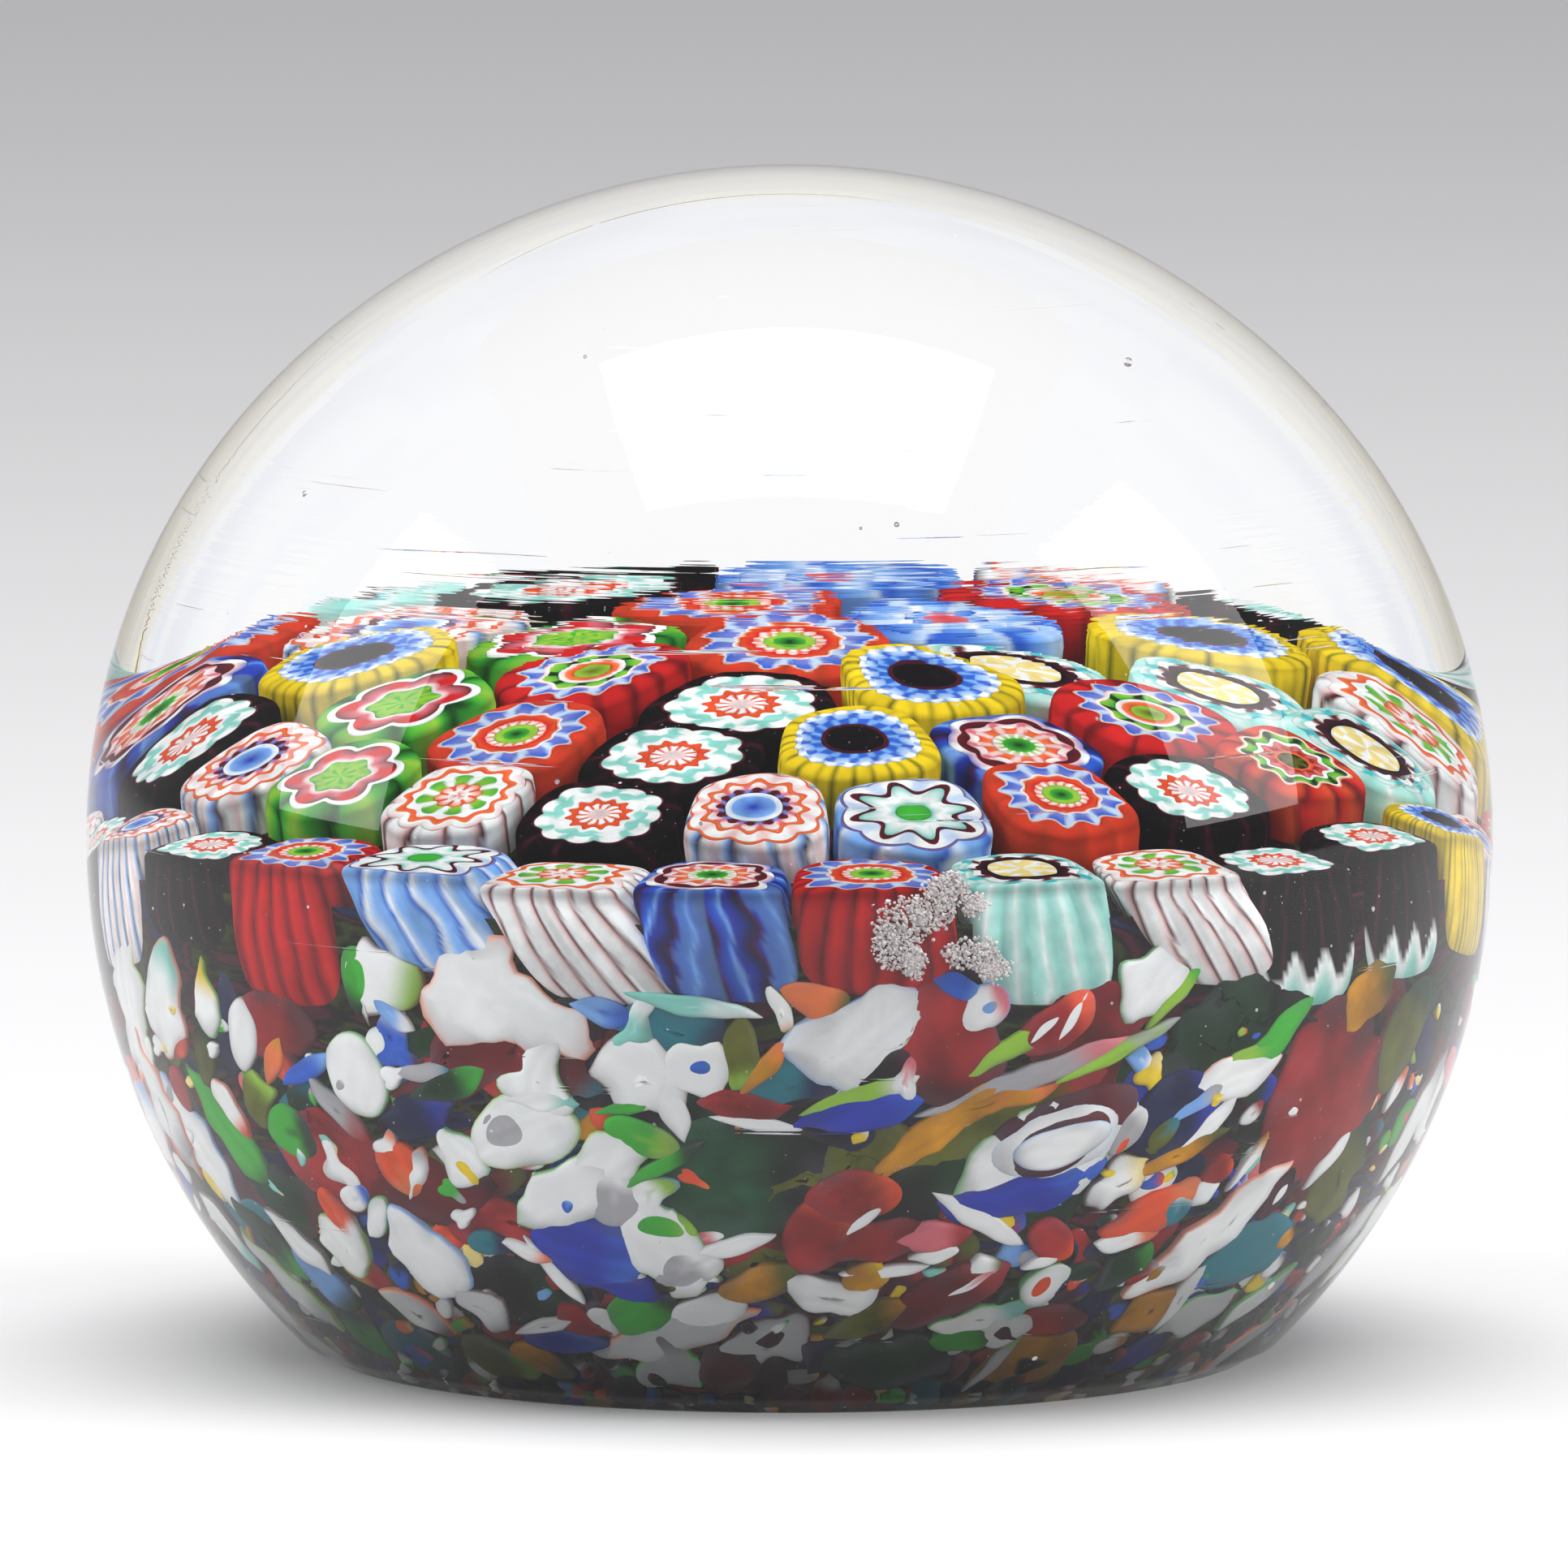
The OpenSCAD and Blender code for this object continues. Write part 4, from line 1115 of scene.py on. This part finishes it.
# Crumbs in layers, deepest first: (how many, colours, least and greatest length in front, the same
# behind, least and greatest sink, least and greatest drop)
CRUMB_LAYERS = [
    (420, "rrguuxnnAAtbggR", 3.0, 7.0, 3.0, 7.0, 0.80, 0.95, 8, 49),
    (420, "RRrgdAabBntuuxwwv", 1.6, 4.2, 2.4, 6.0, 0.60, 0.82, 8, 49),
    (520, "wwwwwwwkccldovRBsyqp", 0.8, 2.3, 1.0, 4.4, 0.45, 0.75, 8, 49),
    (420, "wwwRRdggABnxxax", 1.2, 2.8, 1.6, 3.4, 0.15, 0.5, 30, 49),
]


def build_crumbs(solids):
    """Crumbs fill the ground between the large chips all round, smaller and denser towards the base."""
    rng = random.Random(77)
    for layer, kind in enumerate(CRUMB_LAYERS):
        count, colours, least, most, back_least, back_most, high, low, top, foot = kind
        for i in range(count):
            turn = rng.uniform(-180, 180)
            drop = rng.uniform(top, foot)
            if rng.random() > math.cos(math.radians(drop)) * 1.15:
                continue
            front = abs(turn) < FRONT_ZONE
            long = rng.uniform(least, most) if front else rng.uniform(back_least, back_most)
            wide = long * rng.uniform(0.42, 0.8)
            first = rng.choice(colours)
            second = rng.choice(first + first + colours)
            node, colour = GLASS[first]
            sink = rng.uniform(high, low) if front else rng.uniform(0.1, low)
            if front and drop < CANE_FOOT_DROP:
                sink += 0.7
            rim = rng.choice(RIMS) if first in "wc" and rng.random() < 0.6 else None
            shape = rng.choice(["shard", "shard", "oval", "leaf", "tri"])
            lean = rng.gauss(25, 40)
            build_chip(solids[node], on_skin(turn, drop), UP, long, wide, lean, shape,
                       (colour, GLASS[second][1]), rim, sink, random.Random(1000 * layer + i))


def build_chips():
    solids = {node: Solid() for node in CHIP_COLOURS}
    build_cad_chips(solids)
    build_crumbs(solids)
    build_front_chips(solids)
    material = tinted_glass("chip_glass", grain=350, variation=0.07)
    dark = tinted_glass("dark_chip_glass", grain=350, variation=0.5, specks=0.035)
    for node, solid in solids.items():
        deep = node in ("dark_green_chips", "navy_chips", "dark_red_chips", "amber_chips")
        solid.piece("frit_" + node, dark if deep else material, [node], node + "_glass")


# ---------------------------------------------------------------- beds, mica and the clear casing
def revolve(solid, profile, columns, tint):
    """Turns a profile of (radius, height) points, from the top pole to the bottom pole."""
    rows = []
    for r, z in profile[1:-1]:
        turns = [math.tau * k / columns for k in range(columns)]
        rows.append([Vector((r * math.cos(t), r * math.sin(t), z)) for t in turns])
    tints = [[tint] * columns for _ in rows]
    poles = ((Vector((0, 0, profile[0][1])), tint), (Vector((0, 0, profile[-1][1])), tint))
    solid.rows(rows, tints, poles)


def arc_points(centre_r, centre_z, radius, start, end, steps):
    """Points (radius, height) along an arc, angles in degrees above the horizontal."""
    points = []
    for i in range(steps + 1):
        angle = math.radians(start + (end - start) * i / steps)
        points.append((centre_r + radius * math.cos(angle), centre_z + radius * math.sin(angle)))
    return points


def build_ground():
    """The dark glass that the chips lie in."""
    radius = SET_R - 1.0
    edge = math.degrees(math.asin((20.5 - SET_CENTRE.z) / radius))
    foot = math.degrees(math.asin((FLOOR_GAP + 0.1 - SET_CENTRE.z) / radius))
    side = arc_points(0, SET_CENTRE.z, radius, edge, foot, 60)
    cap = [(side[0][0] * i / 12, 25.5 - 5.0 * (i / 12) ** 2) for i in range(12)]
    floor = [(side[-1][0] * (1 - i / 8), side[-1][1]) for i in range(1, 9)]
    solid = Solid()
    revolve(solid, cap + side + floor, 192, BLACK)
    folds = [BLACK, BOTTLE, BLACK, NAVY, (0.05, 0.045, 0.006), BLACK, AUBERGINE, MAROON, BLACK, BOTTLE]
    material = marbled_glass("ground_glass", folds, 130)
    solid.piece("ground_glass", material, ["ground_bed"], "dark_ground_glass")


def build_pickup():
    """The glass between the canes, dark with the colours around it."""
    radius = SET_R - 0.9
    low = math.degrees(math.asin((20.7 - SET_CENTRE.z) / radius))
    high = math.degrees(math.asin((27.2 - SET_CENTRE.z) / radius))
    side = arc_points(0, SET_CENTRE.z, radius, high, low, 16)
    top_r = CUSHION_R - 2.1
    cap = []
    for i in range(24):
        r = side[0][0] * i / 24
        cap.append((r, CUSHION_CENTRE.z + math.sqrt(top_r ** 2 - r ** 2)))
    under = [(side[-1][0] * (1 - i / 12), 20.7 + 4.9 * (1 - (1 - i / 12) ** 2)) for i in range(1, 13)]
    solid = Solid()
    revolve(solid, cap + side + under, 192, BLACK)
    folds = [BLACK, BLACK, (0.03, 0.04, 0.008), BLACK, AUBERGINE, BLACK, NAVY, BLACK]
    material = marbled_glass("pickup_fill", folds, 110, 0.05)
    solid.piece("pickup_fill", material, ["pickup_glass"], "pickup_glass")


def build_mica():
    """A ragged cluster of tiny mica plates caught between the red and the aqua cane."""
    solid = Solid()
    rng = random.Random(5)
    blobs = [(9.6, -1.5, 2.4, 2.2), (12.2, -2.6, 2.0, 1.8), (8.8, 0.4, 1.7, 1.9), (13.6, -4.4, 1.8, 1.2),
             (15.6, 1.2, 2.4, 1.1), (17.6, 2.6, 1.3, 0.8), (15.9, -2.9, 0.7, 0.6), (10.6, 1.8, 0.8, 1.2)]
    for i in range(2800):
        turn, drop, wide, high = blobs[i % len(blobs)]
        a = rng.uniform(0, math.tau)
        reach = math.sqrt(rng.random())
        turn += wide * reach * math.cos(a) + rng.gauss(0, 0.25)
        drop += high * reach * math.sin(a) + rng.gauss(0, 0.25)
        centre = on_skin(turn, drop)
        axis = Vector((rng.gauss(0, 1), rng.gauss(0, 1), rng.gauss(0, 1))).normalized()
        first = axis.orthogonal().normalized()
        second = axis.cross(first)
        middle = SET_CENTRE + centre * (SET_R + 0.02 + 0.2 * rng.random())
        size = rng.uniform(0.05, 0.13)
        rows = []
        for height in (0.03, -0.03):
            rows.append([middle + axis * height + (first * math.cos(t) + second * math.sin(t)) * size
                         for t in (math.tau * k / 6 for k in range(6))])
        shade = rng.uniform(0.75, 1.1)
        tint = tuple(c * shade for c in (0.92, 0.86, 0.86))
        solid.rows(rows, [[tint] * 6] * 2, ((middle + axis * 0.035, tint), (middle - axis * 0.035, tint)))
    material = tinted_glass("mica_plates", grain=2500, variation=0.1, roughness=0.25, shine=0.5)
    solid.piece("mica_cluster", material, ["mica_flecks"], "mica")


def build_casing_glass():
    """The outside of the weight as one closed surface, with a few seeds as hollows inside it."""
    crown = arc_points(0, CROWN_Z, CROWN_R, 90, 45, 90)
    shoulder = arc_points(GLASS_R - SHOULDER_R, EQUATOR_Z, SHOULDER_R, 45, 0, 80)
    low = math.degrees(math.asin((BASE_EDGE - EQUATOR_Z) / GLASS_R))
    body = arc_points(0, EQUATOR_Z, GLASS_R, 0, low, 90)
    edge = [(BASE_R + BASE_EDGE * 0.62, BASE_EDGE * 0.42), (BASE_R + BASE_EDGE * 0.3, BASE_EDGE * 0.12)]
    floor = [(BASE_R * (1 - i / 10), 0.0) for i in range(11)]
    solid = Solid()
    revolve(solid, crown + shoulder[1:] + body[1:] + edge + floor, 288, WHITE)
    glass = solid.piece("clear_casing_glass", clear_glass("clear_glass"), ["clear_casing"], "clear_glass",
                        sloped=False)
    seeds = [(-5, -37, 36, 0.10), (4, -31, 52, 0.09), (6, -30, 52, 0.14), (-13, -34, 38, 0.13),
             (17, -30, 41, 0.10), (12, 14, 45, 0.16), (-20, 5, 44, 0.12), (8, 22, 50, 0.13),
             (-10, -8, 55, 0.10), (22, 18, 38, 0.14)]
    body = bmesh.new()
    body.from_mesh(glass.data)
    for x, y, z, size in seeds:
        made = bmesh.ops.create_uvsphere(body, u_segments=16, v_segments=10, radius=size * MM,
                                         matrix=Matrix.Translation(Vector((x, y, z)) * 0.9 * MM))
        faces = {face for vert in made["verts"] for face in vert.link_faces}
        bmesh.ops.reverse_faces(body, faces=list(faces))
    body.to_mesh(glass.data)
    body.free()
    glass.data.shade_smooth()


# ---------------------------------------------------------------- stage, lights and camera
def build_stage():
    """A white floor that sweeps up into a wall that looks grey far off, the same all round. Its paint gets
    lighter further out: painted light that makes up for the lamps' falloff.
    """
    profile = [(0.02, 0)] + [(0.05 * 1.09 ** i, 0) for i in range(45)]
    profile += [(2.42 + 0.6 * math.sin(math.radians(5 * i)), 0.6 - 0.6 * math.cos(math.radians(5 * i)))
                for i in range(1, 19)]
    profile += [(3.02, 0.9), (3.02, 1.4)]
    columns = 96
    points = [(0, 0, 0)]
    faces = []
    for r, z in profile:
        points += [(r * math.cos(math.tau * k / columns), r * math.sin(math.tau * k / columns), z)
                   for k in range(columns)]
    for k in range(columns):
        faces.append((0, 1 + k, 1 + (k + 1) % columns))
    for i in range(len(profile) - 1):
        for k in range(columns):
            n = (k + 1) % columns
            a = 1 + i * columns
            faces.append((a + k, a + columns + k, a + columns + n, a + n))
    mesh = bpy.data.meshes.new("sweep")
    mesh.from_pydata(points, [], faces)
    mesh.shade_smooth()
    sweep = bpy.data.objects.new("sweep", mesh)
    bpy.context.scene.collection.objects.link(sweep)
    material, tree = new_material("paper_sweep")
    out = add(tree, "OutputMaterial")
    shader = add(tree, "BsdfPrincipled", Roughness=0.9, Specular_IOR_Level=0.1)
    place = add(tree, "TexCoord")
    flat = add(tree, "VectorMath", "LENGTH")
    # Paint from 0.86 near the weight to 0.94 a metre out and beyond: painted light against the lamps' falloff
    painted_light_ramp = add(tree, "ValToRGB")
    painted_light_ramp.color_ramp.elements[0].position = 0.0
    painted_light_ramp.color_ramp.elements[0].color = (0.86, 0.86, 0.865, 1)
    painted_light_ramp.color_ramp.elements[1].position = 1.0
    painted_light_ramp.color_ramp.elements[1].color = (0.94, 0.93, 0.945, 1)
    for spot, level in ((0.1, 0.86), (0.36, 0.87), (0.62, 0.92)):
        step = painted_light_ramp.color_ramp.elements.new(spot)
        step.color = (level, level * 0.995, level * 1.005, 1)
    link(tree, place, "Object", flat, 0)
    link(tree, flat, "Value", painted_light_ramp, "Fac")
    link(tree, painted_light_ramp, "Color", shader, "Base Color")
    link(tree, shader, "BSDF", out, "Surface")
    mesh.materials.append(material)


def add_softbox(name, place, aim, size, power):
    light = bpy.data.lights.new(name, "AREA")
    light.shape = "RECTANGLE"
    light.size, light.size_y = size
    light.energy = power
    lamp = bpy.data.objects.new(name, light)
    lamp.location = place
    lamp.rotation_euler = (Vector(aim) - Vector(place)).to_track_quat("-Z", "Y").to_euler()
    bpy.context.scene.collection.objects.link(lamp)


def build_lights():
    add_softbox("overhead_box", (0.01, -0.045, 0.64), (0.01, -0.045, 0.0), (0.475, 0.40), 2.8)
    add_softbox("left_box", (-0.80, -0.14, 0.40), (0, 0, 0.03), (0.36, 0.68), 2.6)
    add_softbox("right_box", (0.80, -0.16, 0.46), (0, 0, 0.03), (0.42, 0.80), 3.6)
    world = bpy.data.worlds.new("studio")
    bpy.context.scene.world = world
    world.use_nodes = True
    world.node_tree.nodes["Background"].inputs["Color"].default_value = (0.95, 0.95, 0.96, 1)
    world.node_tree.nodes["Background"].inputs["Strength"].default_value = 0.39


CAMERA_AIM = Vector((-0.0003, 0, 0.0308))
CAMERA_RISE = 6.4
CAMERA_AWAY = 1.2
CAMERA_LENS = 510


def build_camera():
    data = bpy.data.cameras.new("camera")
    data.lens = CAMERA_LENS
    data.sensor_width = 36
    data.clip_end = 20
    camera = bpy.data.objects.new("camera", data)
    bpy.context.scene.collection.objects.link(camera)
    rise = math.radians(CAMERA_RISE)
    away = Vector((0, -math.cos(rise), math.sin(rise)))
    camera.location = CAMERA_AIM + away * CAMERA_AWAY
    camera.rotation_euler = (-away).to_track_quat("-Z", "Y").to_euler()
    bpy.context.scene.camera = camera


build_camera()
build_stage()
build_lights()
build_ground()
build_pickup()
build_mica()
build_chips()
build_canes()
build_casing_glass()

scene = bpy.context.scene
scene.view_settings.view_transform = "Standard"
scene.cycles.use_denoising = True
